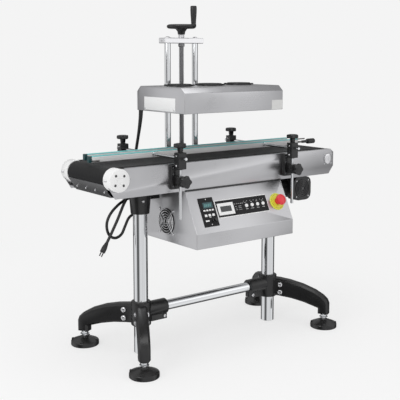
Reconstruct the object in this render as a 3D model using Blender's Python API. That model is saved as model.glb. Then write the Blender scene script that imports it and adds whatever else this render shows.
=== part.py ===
"""Floor-standing induction cap sealer: belt conveyor on a two-post stand, sealing head on a hand-wound column lift.

Metres, +Z up. X runs along the conveyor, -Y is the operator's side, Z = 0 is the floor.
The origin is on the floor under the middle of the machine.
"""
import math

import bmesh
import bpy
from mathutils import Matrix, Vector

# ---- driving dimensions -------------------------------------------------------------
GAP = 0.0003               # clearance between pieces that touch
RUN = 0.0005               # clearance round a piece that turns or slides in another
SHEET = 0.002              # stainless sheet thickness

POST_X, POST_RADIUS, POST_WALL = 0.2956, 0.025, 0.002
POST_BOTTOM, POST_TOP = 0.003, 0.568
CROSSBAR_Z, CROSSBAR_RADIUS, CROSSBAR_END = 0.150, 0.018, 0.264
KNEE_BOTTOM, KNEE_TOP, KNEE_RADIUS, KNEE_ARM_END = 0.100, 0.186, 0.035, 0.195
FOOT_X, FOOT_Y, FOOT_RADIUS, FOOT_STEM_RADIUS = 0.411, 0.1925, 0.050, 0.008
LEG_HALF_WIDTH, LEG_SOCKET_RADIUS, LEG_SOCKET_BOTTOM = 0.0205, 0.0195, 0.052
LEG_STEM_TOP = 0.095

PLATE_Y, PLATE_BOTTOM, PLATE_TOP = 0.1437, 0.5814, 0.6765   # outer face of the side plates
PLATE_LEFT, PLATE_RIGHT = -0.482, 0.4985
FLANGE = 0.018
TAIL_X, TAIL_Z, TAIL_RADIUS, TAIL_SHAFT = -0.474, 0.642, 0.0325, 0.008
DRIVE_X, DRIVE_Z, DRIVE_RADIUS, DRIVE_SHAFT = 0.468, 0.639, 0.0355, 0.010
ROLLER_HALF = 0.115
BELT_HALF, BELT_THICKNESS = 0.1145, 0.0025
BLOCK_RADIUS, BLOCK_INNER, BLOCK_OUTER = 0.0375, 0.1175, 0.159
BEARING_RADIUS, BEARING_FACE_Y, DRIVE_SHAFT_END = 0.020, 0.148, 0.145
SPROCKET_Y, SPROCKET_HALF = 0.1285, 0.004
MOTOR_X, MOTOR_Z, MOTOR_FACE_Y = 0.384, 0.526, -0.095
DRIVE_SPROCKET_RADIUS, MOTOR_SPROCKET_RADIUS = 0.026, 0.020

COLUMN_X, COLUMN_Y, COLUMN_RADIUS, SCREW_RADIUS = 0.0628, 0.1620, 0.011, 0.009
COLUMN_BOTTOM, TOP_PLATE_BOTTOM, TOP_PLATE_TOP = 0.600, 1.075, 1.095
COLUMN_BASE_BOTTOM, COLUMN_BASE_TOP = 0.590, 0.672
WHEEL_Z, WHEEL_RADIUS, GRIP_ORBIT, GRIP_TOP = 1.137, 0.054, 0.042, 1.2125

HEAD_LEFT, HEAD_RIGHT, HEAD_FRONT, HEAD_BACK = -0.213, 0.227, -0.1475, 0.1385
HEAD_BOTTOM, HEAD_SHOULDER, HEAD_TOP, HEAD_CHAMFER = 0.8378, 0.906, 0.9244, 0.021
FAN_XS, FAN_OPENING, FAN_ROTOR = (-0.128, 0.007, 0.142), 0.043, 0.0395

BOX_LEFT, BOX_RIGHT, BOX_FRONT, BOX_BACK = -0.210, 0.226, -0.2097, 0.141
BOX_BOTTOM, BOX_KNEE, BOX_TOP, BOX_TOP_FRONT = 0.3913, 0.4425, 0.5811, -0.1415
BOX_FAN_Y, BOX_FAN_Z, BOX_FAN_OPENING = -0.0365, 0.4622, 0.038

RAIL_BOTTOM, RAIL_TOP, RAIL_THICKNESS = 0.687, 0.708, 0.012
RAIL_RIGHT, RAIL_LEFTS = 0.430, {"front": -0.505, "back": -0.486}
RAIL_FACE_Y = {"front": -0.021, "back": 0.052}     # the face each rail turns to its rods
ROD_X, ROD_Y, ROD_RADIUS, ROD_Z, ROD_END_Y = 0.252, 0.175, 0.005, 0.698, 0.209
MAST_BOTTOM, CLAMP_BOTTOM, CLAMP_TOP = 0.4945, 0.662, 0.717
SIDE_KNOB_Z, STAR_RADIUS = 0.622, 0.022

LEAD_RADIUS, HEAD_CABLE_RADIUS = 0.004, 0.0055
LEAD_GLAND_Y, LEAD_GLAND_Z, GLAND_LENGTH = 0.110, 0.525, 0.022
HEAD_GLAND_X, HEAD_GLAND_Z = -0.150, 0.480
# The supply lead hangs behind the left post: one open loop, a turn over the hook, then down to its plug.
LEAD_ROUTE = [(-0.2328, 0.110, 0.525), (-0.252, 0.110, 0.5252), (-0.280, 0.098, 0.530), (-0.308, 0.076, 0.531),
              (-0.342, 0.066, 0.519), (-0.373, 0.065, 0.493), (-0.389, 0.065, 0.462), (-0.387, 0.065, 0.431),
              (-0.373, 0.065, 0.4105), (-0.352, 0.065, 0.4045), (-0.331, 0.064, 0.4155), (-0.317, 0.063, 0.442),
              (-0.302, 0.061, 0.470), (-0.275, 0.058, 0.487), (-0.254, 0.056, 0.505), (-0.2475, 0.054, 0.530),
              (-0.261, 0.051, 0.552), (-0.286, 0.048, 0.559), (-0.311, 0.046, 0.550), (-0.330, 0.045, 0.528),
              (-0.345, 0.045, 0.500), (-0.3585, 0.045, 0.4725), (-0.374, 0.045, 0.445), (-0.3895, 0.045, 0.418),
              (-0.402, 0.045, 0.3975)]
# The head's conduit drops behind the conveyor and curls into the back of the control box.
HEAD_CABLE_ROUTE = [(-0.2035, 0.1285, 0.8412), (-0.2045, 0.1305, 0.810), (-0.206, 0.137, 0.770),
                    (-0.2075, 0.146, 0.730), (-0.2085, 0.156, 0.690), (-0.2085, 0.165, 0.650),
                    (-0.207, 0.172, 0.610), (-0.203, 0.180, 0.572), (-0.195, 0.190, 0.538), (-0.182, 0.198, 0.508),
                    (-0.165, 0.196, 0.487), (-0.1515, 0.182, 0.480), (-0.150, 0.1642, 0.480)]

# ---- mesh helpers ---------------------------------------------------------------------
AXES = {"X": Matrix.Rotation(math.pi / 2, 4, "Y"), "Y": Matrix.Rotation(-math.pi / 2, 4, "X"), "Z": Matrix()}


def clear_scene():
    for obj in list(bpy.data.objects):
        bpy.data.objects.remove(obj)


def material(name, colour, roughness, metallic):
    mat = bpy.data.materials.new(name)
    mat.use_nodes = True
    shader = mat.node_tree.nodes["Principled BSDF"]
    shader.inputs["Base Color"].default_value = (*colour, 1)
    shader.inputs["Roughness"].default_value = roughness
    shader.inputs["Metallic"].default_value = metallic
    return mat


def to_object(name, bm, finish=None, origin=(0, 0, 0)):
    """Turns a bmesh in world coordinates into an object whose origin is at the given point."""
    bmesh.ops.recalc_face_normals(bm, faces=bm.faces)
    bmesh.ops.translate(bm, verts=bm.verts, vec=-Vector(origin))
    mesh = bpy.data.meshes.new(name)
    bm.to_mesh(mesh)
    bm.free()
    mesh.shade_smooth()
    mesh.set_sharp_from_angle(angle=math.radians(35))
    obj = bpy.data.objects.new(name, mesh)
    obj.location = origin
    bpy.context.collection.objects.link(obj)
    if finish:
        mesh.materials.append(finish)
    return obj


def box(low, high):
    bm = bmesh.new()
    bmesh.ops.create_cube(bm, size=1)
    size = [b - a for a, b in zip(low, high)]
    middle = [(a + b) / 2 for a, b in zip(low, high)]
    bmesh.ops.scale(bm, verts=bm.verts, vec=size)
    bmesh.ops.translate(bm, verts=bm.verts, vec=middle)
    return bm


def cylinder(axis, centre, start, end, radius, sides=24, end_radius=None):
    """A round bar along X, Y or Z from start to end; centre gives the other two coordinates."""
    bm = bmesh.new()
    bmesh.ops.create_cone(bm, cap_ends=True, segments=sides, radius1=radius,
                          radius2=radius if end_radius is None else end_radius, depth=end - start)
    along = "XYZ".index(axis)
    place = list(centre)
    place.insert(along, (start + end) / 2)
    bmesh.ops.transform(bm, verts=bm.verts, matrix=Matrix.Translation(place) @ AXES[axis])
    return bm


def prism(axis, outline, start, end):
    """A closed outline of (second, third) coordinates, extruded along X, Y or Z."""
    bm = bmesh.new()
    along = "XYZ".index(axis)
    verts = []
    for point in outline:
        place = list(point)
        place.insert(along, start)
        verts.append(bm.verts.new(place))
    face = bm.faces.new(verts)
    side = bmesh.ops.extrude_face_region(bm, geom=[face])["geom"]
    shift = [0, 0, 0]
    shift[along] = end - start
    bmesh.ops.translate(bm, verts=[v for v in side if isinstance(v, bmesh.types.BMVert)], vec=shift)
    return bm


def turned(profile, centre, sides=24, axis="Z"):
    """A profile of (radius, height) pairs, top to bottom, spun round an axis through centre."""
    bm = bmesh.new()
    verts = [bm.verts.new((radius, 0, height)) for radius, height in profile]
    edges = [bm.edges.new(pair) for pair in zip(verts, verts[1:])]
    bmesh.ops.spin(bm, geom=verts + edges, cent=(0, 0, 0), axis=(0, 0, 1),
                   angle=2 * math.pi, steps=sides, use_merge=True)
    bmesh.ops.remove_doubles(bm, verts=bm.verts, dist=1e-6)
    bmesh.ops.transform(bm, verts=bm.verts, matrix=Matrix.Translation(centre) @ AXES[axis])
    return bm


def bevelled(bm, width, segments=1):
    bmesh.ops.bevel(bm, geom=bm.edges, offset=width, segments=segments, affect="EDGES", profile=0.5)
    return bm


def combine(obj, operation, shapes):
    """Adds or cuts world-space shapes with Boolean modifiers on the object."""
    for bm in shapes:
        number = len(obj.modifiers)
        guide = to_object(f"{obj.name}_guide_{number}", bm)
        guide.hide_render = True
        guide.display_type = "WIRE"
        mod = obj.modifiers.new(f"{operation.lower()}_{number}", "BOOLEAN")
        mod.operation = operation
        mod.object = guide


def arc(centre, radius, first, last, steps):
    """Points on a circle between two angles in degrees."""
    turn = [math.radians(first + (last - first) * i / steps) for i in range(steps + 1)]
    return [(centre[0] + radius * math.cos(a), centre[1] + radius * math.sin(a)) for a in turn]


def loop_outline(left, left_radius, right, right_radius, steps=14):
    """A belt's outline round two pulleys, as (x, z) points."""
    return arc(left, left_radius, 90, 270, steps) + arc(right, right_radius, -90, 90, steps)


clear_scene()
CHROME = material("chrome", (0.80, 0.80, 0.82), 0.12, 1.0)
CAST = material("black_cast", (0.025, 0.025, 0.028), 0.42, 0.0)
STEEL = material("stainless", (0.58, 0.58, 0.60), 0.34, 1.0)
BELT = material("belt_pvc", (0.040, 0.042, 0.045), 0.62, 0.0)
WHITE = material("white_plastic", (0.82, 0.82, 0.82), 0.40, 0.0)
PLASTIC = material("black_plastic", (0.022, 0.023, 0.026), 0.40, 0.0)
ALUMINIUM = material("aluminium", (0.78, 0.79, 0.80), 0.35, 1.0)
DARK_STEEL = material("dark_steel", (0.14, 0.14, 0.15), 0.40, 1.0)
RED = material("red_plastic", (0.55, 0.02, 0.02), 0.35, 0.0)
RUBBER = material("black_rubber", (0.020, 0.020, 0.021), 0.55, 0.0)
SIDES = (("left", -1), ("right", 1))
CORNERS = [(f"{depth}_{side}", sx, sy) for depth, sy in (("front", -1), ("back", 1)) for side, sx in SIDES]


# ---- stand: levelling feet, cast bases, posts, crossbar, head brackets -----------------------
def make_posts():
    for side, sign in SIDES:
        tube = cylinder("Z", (sign * POST_X, 0), POST_BOTTOM, POST_TOP, POST_RADIUS, 24)
        obj = to_object(f"post_{side}", tube, CHROME)
        combine(obj, "DIFFERENCE", [cylinder("Z", (sign * POST_X, 0), POST_BOTTOM - 0.01, POST_TOP + 0.01,
                                             POST_RADIUS - POST_WALL, 24)])
    bar = to_object("crossbar", cylinder("X", (0, CROSSBAR_Z), -CROSSBAR_END, CROSSBAR_END,
                                         CROSSBAR_RADIUS, 24), CHROME)
    combine(bar, "DIFFERENCE", [cylinder("X", (0, CROSSBAR_Z), -CROSSBAR_END - 0.01, CROSSBAR_END + 0.01,
                                         CROSSBAR_RADIUS - POST_WALL, 24)])


def leg_arm(post_x, sign_x, sign_y):
    """One curved arm, drawn as (reach, height) in the upright plane from the post to its foot."""
    reach = math.hypot(FOOT_X - POST_X, FOOT_Y)
    outer = reach + LEG_SOCKET_RADIUS
    under = [(0.018, 0.1075), (0.050, 0.106), (0.100, 0.101), (0.150, 0.091), (0.180, 0.082),
             (reach - LEG_SOCKET_RADIUS, 0.074), (reach - LEG_SOCKET_RADIUS, LEG_SOCKET_BOTTOM)]
    over = [(outer, LEG_SOCKET_BOTTOM), (outer, 0.092), (outer - 0.006, 0.107), (outer - 0.022, 0.122),
            (0.190, 0.140), (0.140, 0.158), (0.090, 0.169), (0.050, 0.174), (0.018, 0.1755)]
    arm = prism("Y", under + over, -LEG_HALF_WIDTH, LEG_HALF_WIDTH)
    lengthwise = [e for e in arm.edges if abs(e.verts[0].co.y - e.verts[1].co.y) < 1e-6]
    bmesh.ops.bevel(arm, geom=lengthwise, offset=0.007, segments=1, affect="EDGES", profile=0.5)
    heading = math.atan2(sign_y * FOOT_Y, sign_x * (FOOT_X - POST_X))
    turn = Matrix.Translation((post_x, 0, 0)) @ Matrix.Rotation(heading, 4, "Z")
    bmesh.ops.transform(arm, verts=arm.verts, matrix=turn)
    return arm


def make_bases():
    for side, sign in SIDES:
        x = sign * POST_X
        hub = turned([(0, KNEE_TOP), (KNEE_RADIUS - 0.003, KNEE_TOP), (KNEE_RADIUS, KNEE_TOP - 0.003),
                      (KNEE_RADIUS, KNEE_BOTTOM + 0.003), (KNEE_RADIUS - 0.003, KNEE_BOTTOM),
                      (0, KNEE_BOTTOM)], (x, 0, 0), 24)
        obj = to_object(f"base_{side}", hub, CAST)
        inner = sorted((x, sign * KNEE_ARM_END))
        arm_radius = CROSSBAR_RADIUS + 0.009
        fin = sorted((sign * (KNEE_ARM_END + 0.0015), sign * 0.262))
        combine(obj, "UNION", [cylinder("X", (0, CROSSBAR_Z), *inner, arm_radius, 24),
                               box((fin[0], -0.016, KNEE_BOTTOM + 0.008), (fin[1], 0.016, CROSSBAR_Z - 0.01))])
        combine(obj, "UNION", [leg_arm(x, sign, -1), leg_arm(x, sign, 1)])
        slot = sorted((sign * (KNEE_ARM_END - 0.002), sign * (KNEE_ARM_END + 0.055)))
        bar_hole = sorted((sign * (KNEE_ARM_END - 0.01), sign * (CROSSBAR_END + GAP)))
        combine(obj, "DIFFERENCE", [
            cylinder("Z", (x, 0), KNEE_BOTTOM - 0.01, KNEE_TOP + 0.01, POST_RADIUS + GAP, 24),
            cylinder("X", (0, CROSSBAR_Z), *bar_hole, CROSSBAR_RADIUS + GAP, 24),
            box((slot[0], -0.0015, KNEE_BOTTOM - 0.01), (slot[1], 0.0015, CROSSBAR_Z - 0.01))])
        for sign_y in (-1, 1):
            hole = cylinder("Z", (sign * FOOT_X, sign_y * FOOT_Y), LEG_SOCKET_BOTTOM - 0.01,
                            LEG_STEM_TOP + 0.001, FOOT_STEM_RADIUS + RUN, 12)
            combine(obj, "DIFFERENCE", [hole])


def make_feet():
    for corner, sx, sy in CORNERS:
        centre = (sx * FOOT_X, sy * FOOT_Y, 0)
        profile = [(0, LEG_STEM_TOP), (FOOT_STEM_RADIUS, LEG_STEM_TOP), (FOOT_STEM_RADIUS, 0.0495),
                   (0.0125, 0.0495), (0.0125, 0.041), (FOOT_STEM_RADIUS, 0.041), (FOOT_STEM_RADIUS, 0.033),
                   (0.013, 0.033), (0.047, 0.016), (FOOT_RADIUS, 0.012), (FOOT_RADIUS, 0.0), (0, 0.0)]
        foot = to_object(f"foot_{corner}", turned(profile, (0, 0, 0), 20), CAST)
        foot.location = centre


def make_head_brackets():
    for side, sign in SIDES:
        x = sign * POST_X
        socket = turned([(0, 0.577), (0.0375, 0.577), (0.0375, 0.556), (0.0325, 0.495), (0, 0.495)],
                        (x, 0, 0), 24)
        obj = to_object(f"head_bracket_{side}", socket, CAST)
        flange = sorted((x + sign * 0.038, -0.2125 if sign < 0 else 0.2285))
        rib = sorted((x, flange[0] if sign > 0 else flange[1]))
        combine(obj, "UNION", [bevelled(box((flange[0], -0.036, 0.569), (flange[1], 0.036, PLATE_BOTTOM - GAP)),
                                        0.002),
                               box((rib[0], -0.006, 0.540), (rib[1] - 0.006, 0.006, 0.575))])
        combine(obj, "DIFFERENCE", [cylinder("Z", (x, 0), 0.480, POST_TOP + GAP, POST_RADIUS + GAP, 24)])


# ---- conveyor: side plates, bed, rollers, belt, drive -----------------------------------------
def plate_outline():
    """The side plate seen from the front, with its chamfered ends, as (x, z) points."""
    return [(PLATE_LEFT, PLATE_BOTTOM), (PLATE_RIGHT - 0.024, PLATE_BOTTOM), (PLATE_RIGHT, 0.611),
            (PLATE_RIGHT, 0.664), (PLATE_RIGHT - 0.016, PLATE_TOP), (TAIL_X + 0.008, PLATE_TOP),
            (TAIL_X - 0.006, TAIL_Z), (-0.5085, 0.6215)]


def guide_mount_shapes(sign_x, sign_y):
    """Black clamp on a side plate that grips one upright rod of a guide rail."""
    x = sign_x * ROD_X - 0.006
    wall = sign_y * PLATE_Y
    pad = sorted((wall - sign_y * 0.001, sign_y * 0.158))
    boss = sorted((wall, sign_y * (ROD_Y + 0.013)))
    return [bevelled(box((x - 0.019, pad[0], 0.594), (x + 0.013, pad[1], 0.674)), 0.0015),
            bevelled(box((sign_x * ROD_X - 0.014, boss[0], SIDE_KNOB_Z - 0.017),
                         (sign_x * ROD_X + 0.014, boss[1], SIDE_KNOB_Z + 0.017)), 0.002)]


def make_side_plates():
    for depth, sign in (("front", -1), ("back", 1)):
        outer, inner = sign * PLATE_Y, sign * (PLATE_Y - SHEET)
        obj = to_object(f"side_plate_{depth}", prism("Y", plate_outline(), *sorted((inner, outer))), STEEL)
        fold = sorted((sign * (PLATE_Y - FLANGE), sign * (PLATE_Y - 0.001)))
        combine(obj, "UNION", [box((-0.445, fold[0], PLATE_TOP - SHEET), (PLATE_RIGHT - 0.020, fold[1], PLATE_TOP))])
        boss = cylinder("Y", (DRIVE_X, DRIVE_Z), *sorted((sign * (PLATE_Y - 0.006), sign * BEARING_FACE_Y)),
                        BEARING_RADIUS, 20)
        combine(obj, "UNION", [boss] + guide_mount_shapes(-1, sign) + guide_mount_shapes(1, sign))
        if sign > 0:
            base = box((-0.086, PLATE_Y - 0.001, COLUMN_BASE_BOTTOM), (0.086, COLUMN_Y + 0.021, COLUMN_BASE_TOP))
            combine(obj, "UNION", [base])
            combine(obj, "DIFFERENCE", [
                cylinder("Z", (x, COLUMN_Y), COLUMN_BOTTOM - GAP, 0.70, radius + GAP, 24)
                for x, radius in ((-COLUMN_X, COLUMN_RADIUS), (COLUMN_X, COLUMN_RADIUS))])
            combine(obj, "DIFFERENCE", [cylinder("Z", (0, COLUMN_Y), 0.640 - RUN, 0.70, SCREW_RADIUS + RUN, 12)])
        cuts = [cylinder("Y", (TAIL_X, TAIL_Z), *sorted((sign * 0.10, sign * 0.17)), BLOCK_RADIUS + GAP, 24),
                cylinder("Y", (DRIVE_X, DRIVE_Z), *sorted((sign * 0.13, sign * 0.1455)), DRIVE_SHAFT + RUN, 16)]
        for sign_x in (-1, 1):
            cuts.append(cylinder("Z", (sign_x * ROD_X, sign * ROD_Y), 0.58, 0.66, ROD_RADIUS + RUN, 12))
            shaft = sorted((sign * ROD_Y, sign * 0.20))
            cuts.append(cylinder("Y", (sign_x * ROD_X, SIDE_KNOB_Z), *shaft, 0.004 + RUN, 10))
        combine(obj, "DIFFERENCE", cuts)


def make_slider_bed():
    """Folded tube between the plates: the belt slides on its top and returns through it."""
    wall = PLATE_Y - SHEET - GAP
    top = DRIVE_Z + DRIVE_RADIUS - GAP
    obj = to_object("slider_bed", box((-0.432, -wall + FLANGE, top - SHEET), (0.425, wall - FLANGE, top)), STEEL)
    low = PLATE_BOTTOM
    shapes = []
    for sign in (-1, 1):
        web = sorted((sign * wall, sign * (wall - SHEET)))
        step = sorted((sign * (wall - SHEET / 2), sign * (wall - FLANGE - SHEET)))
        riser = sorted((sign * (wall - FLANGE), sign * (wall - FLANGE - SHEET)))
        shapes += [box((-0.432, step[0], 0.655), (0.385, step[1], 0.655 + SHEET)),
                   box((-0.432, riser[0], 0.6555), (0.385, riser[1], top - SHEET / 2)),
                   box((-0.432, web[0], low), (0.385, web[1], 0.656))]
    shapes.append(box((-0.470, -wall, low), (0.385, wall, low + SHEET)))
    guard = [(-0.465, low + 0.0002), (-0.4785, low + 0.0002), (-0.5085, 0.6255), (-0.5065, 0.6268), (-0.4775, low + 0.0018),
             (-0.465, low + 0.0018)]
    shapes.append(prism("Y", guard, -0.113, 0.113))
    combine(obj, "UNION", shapes)


def make_rollers():
    profile = [(0, 0.148), (TAIL_SHAFT, 0.148), (TAIL_SHAFT, ROLLER_HALF), (TAIL_RADIUS, ROLLER_HALF),
               (TAIL_RADIUS, -ROLLER_HALF), (TAIL_SHAFT, -ROLLER_HALF), (TAIL_SHAFT, -0.148), (0, -0.148)]
    tail = to_object("tail_roller", turned(profile, (0, 0, 0), 24, "Y"), RUBBER)
    tail.location = (TAIL_X, 0, TAIL_Z)
    hub, low, high = 0.016, SPROCKET_Y - SPROCKET_HALF, SPROCKET_Y + SPROCKET_HALF
    profile = [(0, DRIVE_SHAFT_END), (DRIVE_SHAFT, DRIVE_SHAFT_END), (DRIVE_SHAFT, high + 0.002), (hub, high + 0.002), (hub, high),
               (DRIVE_SPROCKET_RADIUS, high), (DRIVE_SPROCKET_RADIUS, low), (hub, low), (hub, ROLLER_HALF),
               (DRIVE_RADIUS, ROLLER_HALF), (DRIVE_RADIUS, -ROLLER_HALF), (DRIVE_SHAFT, -ROLLER_HALF),
               (DRIVE_SHAFT, -DRIVE_SHAFT_END), (0, -DRIVE_SHAFT_END)]
    drive = to_object("drive_roller", turned(profile, (0, 0, 0), 24, "Y"), RUBBER)
    drive.location = (DRIVE_X, 0, DRIVE_Z)
    for depth, sign in (("front", -1), ("back", 1)):
        block = cylinder("Y", (TAIL_X, TAIL_Z), *sorted((sign * BLOCK_INNER, sign * BLOCK_OUTER)), BLOCK_RADIUS, 24)
        rims = [e for e in block.edges if abs(e.verts[0].co.y - e.verts[1].co.y) < 1e-6]
        bmesh.ops.bevel(block, geom=rims, offset=0.0015, segments=1, affect="EDGES", profile=0.5)
        obj = to_object(f"tail_block_{depth}", block, WHITE)
        bore = cylinder("Y", (TAIL_X, TAIL_Z), *sorted((sign * 0.110, sign * 0.149)), TAIL_SHAFT + RUN, 16)
        combine(obj, "DIFFERENCE", [bore])


def make_belt():
    tail, drive = (TAIL_X, TAIL_Z), (DRIVE_X, DRIVE_Z)
    inside = loop_outline(tail, TAIL_RADIUS + GAP, drive, DRIVE_RADIUS + GAP, 12)
    outside = loop_outline(tail, TAIL_RADIUS + GAP + BELT_THICKNESS, drive, DRIVE_RADIUS + GAP + BELT_THICKNESS, 12)
    obj = to_object("conveyor_belt", prism("Y", outside, -BELT_HALF, BELT_HALF), BELT)
    combine(obj, "DIFFERENCE", [prism("Y", inside, -BELT_HALF - 0.01, BELT_HALF + 0.01)])


def make_drive():
    cover = box((MOTOR_X - 0.045, MOTOR_FACE_Y, MOTOR_Z - 0.045), (MOTOR_X + 0.045, -0.055, MOTOR_Z + 0.045))
    corners = [e for e in cover.edges if abs(e.verts[0].co.y - e.verts[1].co.y) > 0.01]
    bmesh.ops.bevel(cover, geom=corners, offset=0.024, segments=3, affect="EDGES", profile=0.5)
    obj = to_object("gearmotor", cover, PLASTIC)
    centre = (MOTOR_X, MOTOR_Z)
    combine(obj, "UNION", [
        cylinder("Y", centre, -0.056, 0.040, 0.042, 24),
        bevelled(box((MOTOR_X - 0.040, 0.036, MOTOR_Z - 0.042), (MOTOR_X + 0.040, 0.088, MOTOR_Z + 0.042)), 0.003),
        cylinder("Y", centre, 0.087, 0.098, 0.017, 12),
        box((0.335, 0.087, MOTOR_Z - 0.040), (0.376, 0.091, PLATE_BOTTOM - GAP)),
        box((0.335, 0.030, PLATE_BOTTOM - 0.004), (0.376, 0.091, PLATE_BOTTOM - GAP))])
    low, high = SPROCKET_Y - SPROCKET_HALF, SPROCKET_Y + SPROCKET_HALF
    profile = [(0, high + 0.004), (0.011, high + 0.004), (0.011, high), (MOTOR_SPROCKET_RADIUS, high),
               (MOTOR_SPROCKET_RADIUS, low), (0.011, low), (0.011, 0.118), (0.007, 0.118), (0.007, 0.0985),
               (0, 0.0985)]
    sprocket = to_object("motor_sprocket", turned(profile, (0, 0, 0), 14, "Y"), DARK_STEEL)
    sprocket.location = (MOTOR_X, 0, MOTOR_Z)
    motor, drive = Vector((MOTOR_X, MOTOR_Z)), Vector((DRIVE_X, DRIVE_Z))
    run = drive - motor
    heading = math.degrees(math.atan2(run.y, run.x))
    lean = math.degrees(math.asin((DRIVE_SPROCKET_RADIUS - MOTOR_SPROCKET_RADIUS) / run.length))

    def outline(extra):
        near = arc(motor, MOTOR_SPROCKET_RADIUS + extra, heading + 90 + lean, heading + 270 - lean, 10)
        far = arc(drive, DRIVE_SPROCKET_RADIUS + extra, heading - 90 - lean, heading + 90 + lean, 12)
        return near + far
    chain = to_object("drive_chain", prism("Y", outline(0.0046), low, high), DARK_STEEL)
    combine(chain, "DIFFERENCE", [prism("Y", outline(0.0006), low - 0.01, high + 0.01)])


# ---- head lift: columns, screw, handwheel, top plate --------------------------------------------
def make_lift():
    for side, sign in SIDES:
        to_object(f"column_{side}", cylinder("Z", (sign * COLUMN_X, COLUMN_Y), COLUMN_BOTTOM,
                                             TOP_PLATE_TOP - 0.004, COLUMN_RADIUS, 16), CHROME)
    plate = to_object("top_plate", bevelled(box((-0.088, COLUMN_Y - 0.021, TOP_PLATE_BOTTOM),
                                                (0.088, COLUMN_Y + 0.021, TOP_PLATE_TOP)), 0.002), ALUMINIUM)
    holes = [cylinder("Z", (sign * COLUMN_X, COLUMN_Y), 1.06, TOP_PLATE_TOP - 0.004 + GAP, COLUMN_RADIUS + GAP, 16)
             for _, sign in SIDES]
    holes.append(cylinder("Z", (0, COLUMN_Y), 1.06, 1.11, 0.0075 + RUN, 12))
    combine(plate, "DIFFERENCE", holes)
    nut = 0.0116
    profile = [(0, 1.128), (0.006, 1.128), (0.006, 1.106), (0.0105, 1.106), (0.0105, TOP_PLATE_TOP + RUN),
               (0.0075, TOP_PLATE_TOP + RUN), (0.0075, TOP_PLATE_BOTTOM - RUN), (nut, TOP_PLATE_BOTTOM - RUN),
               (nut, 1.063), (SCREW_RADIUS, 1.063), (SCREW_RADIUS, 0.640), (0, 0.640)]
    screw = to_object("lead_screw", turned(profile, (0, 0, 0), 12), DARK_STEEL)
    screw.location = (0, COLUMN_Y, 0)


def make_handwheel():
    rim = turned([(0.0415, 0.0065), (0.0465, 0.0078), (0.0525, 0.0050), (WHEEL_RADIUS, 0.0), (0.0525, -0.0050),
                  (0.0465, -0.0078), (0.0415, -0.0065), (0.0415, 0.0065)], (0, 0, WHEEL_Z), 24)
    bmesh.ops.translate(rim, verts=rim.verts, vec=(0, COLUMN_Y, 0))
    obj = to_object("handwheel", rim, PLASTIC, (0, COLUMN_Y, WHEEL_Z))
    centre = (0, COLUMN_Y, 0)
    hub = turned([(0, 1.141), (0.013, 1.141), (0.022, 1.132), (0.013, 1.1075), (0, 1.1075)], centre, 14)
    spokes = []
    for number in range(3):
        turn = math.radians(-37 + 120 * number)
        spoke = bevelled(box((0.010, -0.0075, WHEEL_Z - 0.009), (0.044, 0.0075, WHEEL_Z + 0.001)), 0.001)
        bmesh.ops.transform(spoke, verts=spoke.verts,
                            matrix=Matrix.Translation(centre) @ Matrix.Rotation(turn, 4, "Z"))
        spokes.append(spoke)
    grip_x, grip_y = grip_place()
    stud = turned([(0, 1.208), (0.0042, 1.208), (0.0042, 1.1475), (0.0095, 1.1475), (0.0095, 1.137), (0, 1.137)],
                  (grip_x, grip_y, 0), 10)
    combine(obj, "UNION", [hub] + spokes + [stud])
    combine(obj, "DIFFERENCE", [cylinder("Z", (0, COLUMN_Y), 1.09, 1.128 + GAP, 0.006 + GAP, 24)])
    profile = [(0.0052, GRIP_TOP), (0.0105, GRIP_TOP), (0.0115, GRIP_TOP - 0.003), (0.0118, 1.190), (0.0095, 1.160),
               (0.0092, 1.148), (0.0052, 1.148), (0.0052, GRIP_TOP)]
    grip = to_object("crank_grip", turned(profile, (0, 0, 0), 14), PLASTIC)
    grip.location = (grip_x, grip_y, 0)


def grip_place():
    """The crank grip stands on the rim at 37 degrees towards the operator's right."""
    turn = math.radians(-37)
    return GRIP_ORBIT * math.cos(turn) + 0.004, COLUMN_Y + GRIP_ORBIT * math.sin(turn)


# ---- sealing head --------------------------------------------------------------------------------
def head_outline(inset):
    """The head's cross-section, as (y, z) points; the inset is the sheet thickness for the hollow."""
    front, back, top = HEAD_FRONT + inset, HEAD_BACK - inset, HEAD_TOP - inset
    fall = HEAD_TOP - HEAD_SHOULDER
    low = HEAD_BOTTOM - (0.01 if inset else 0)
    return [(front, low), (front, top - fall), (front + HEAD_CHAMFER, top), (back - HEAD_CHAMFER, top),
            (back, top - fall), (back, low)]


def fan_rotor(centre, radius, depth, hub_radius, axis, name, blades=7):
    """Hub with pitched blades; its disc lies across the axis at the centre."""
    rotor = cylinder("Z", (0, 0), -depth / 2, depth / 2, hub_radius, 12)
    obj = to_object(name, rotor, PLASTIC)
    shapes = []
    for number in range(blades):
        blade = box((hub_radius - 0.002, -0.0095, -0.0007), (radius, 0.0095, 0.0007))
        tilt = Matrix.Rotation(math.radians(28), 4, "X")
        spin = Matrix.Rotation(2 * math.pi * number / blades, 4, "Z")
        bmesh.ops.transform(blade, verts=blade.verts, matrix=spin @ tilt)
        shapes.append(blade)
    combine(obj, "UNION", shapes)
    obj.matrix_world = Matrix.Translation(centre) @ AXES[axis]
    for mod in obj.modifiers:
        mod.object.matrix_world = obj.matrix_world


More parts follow.
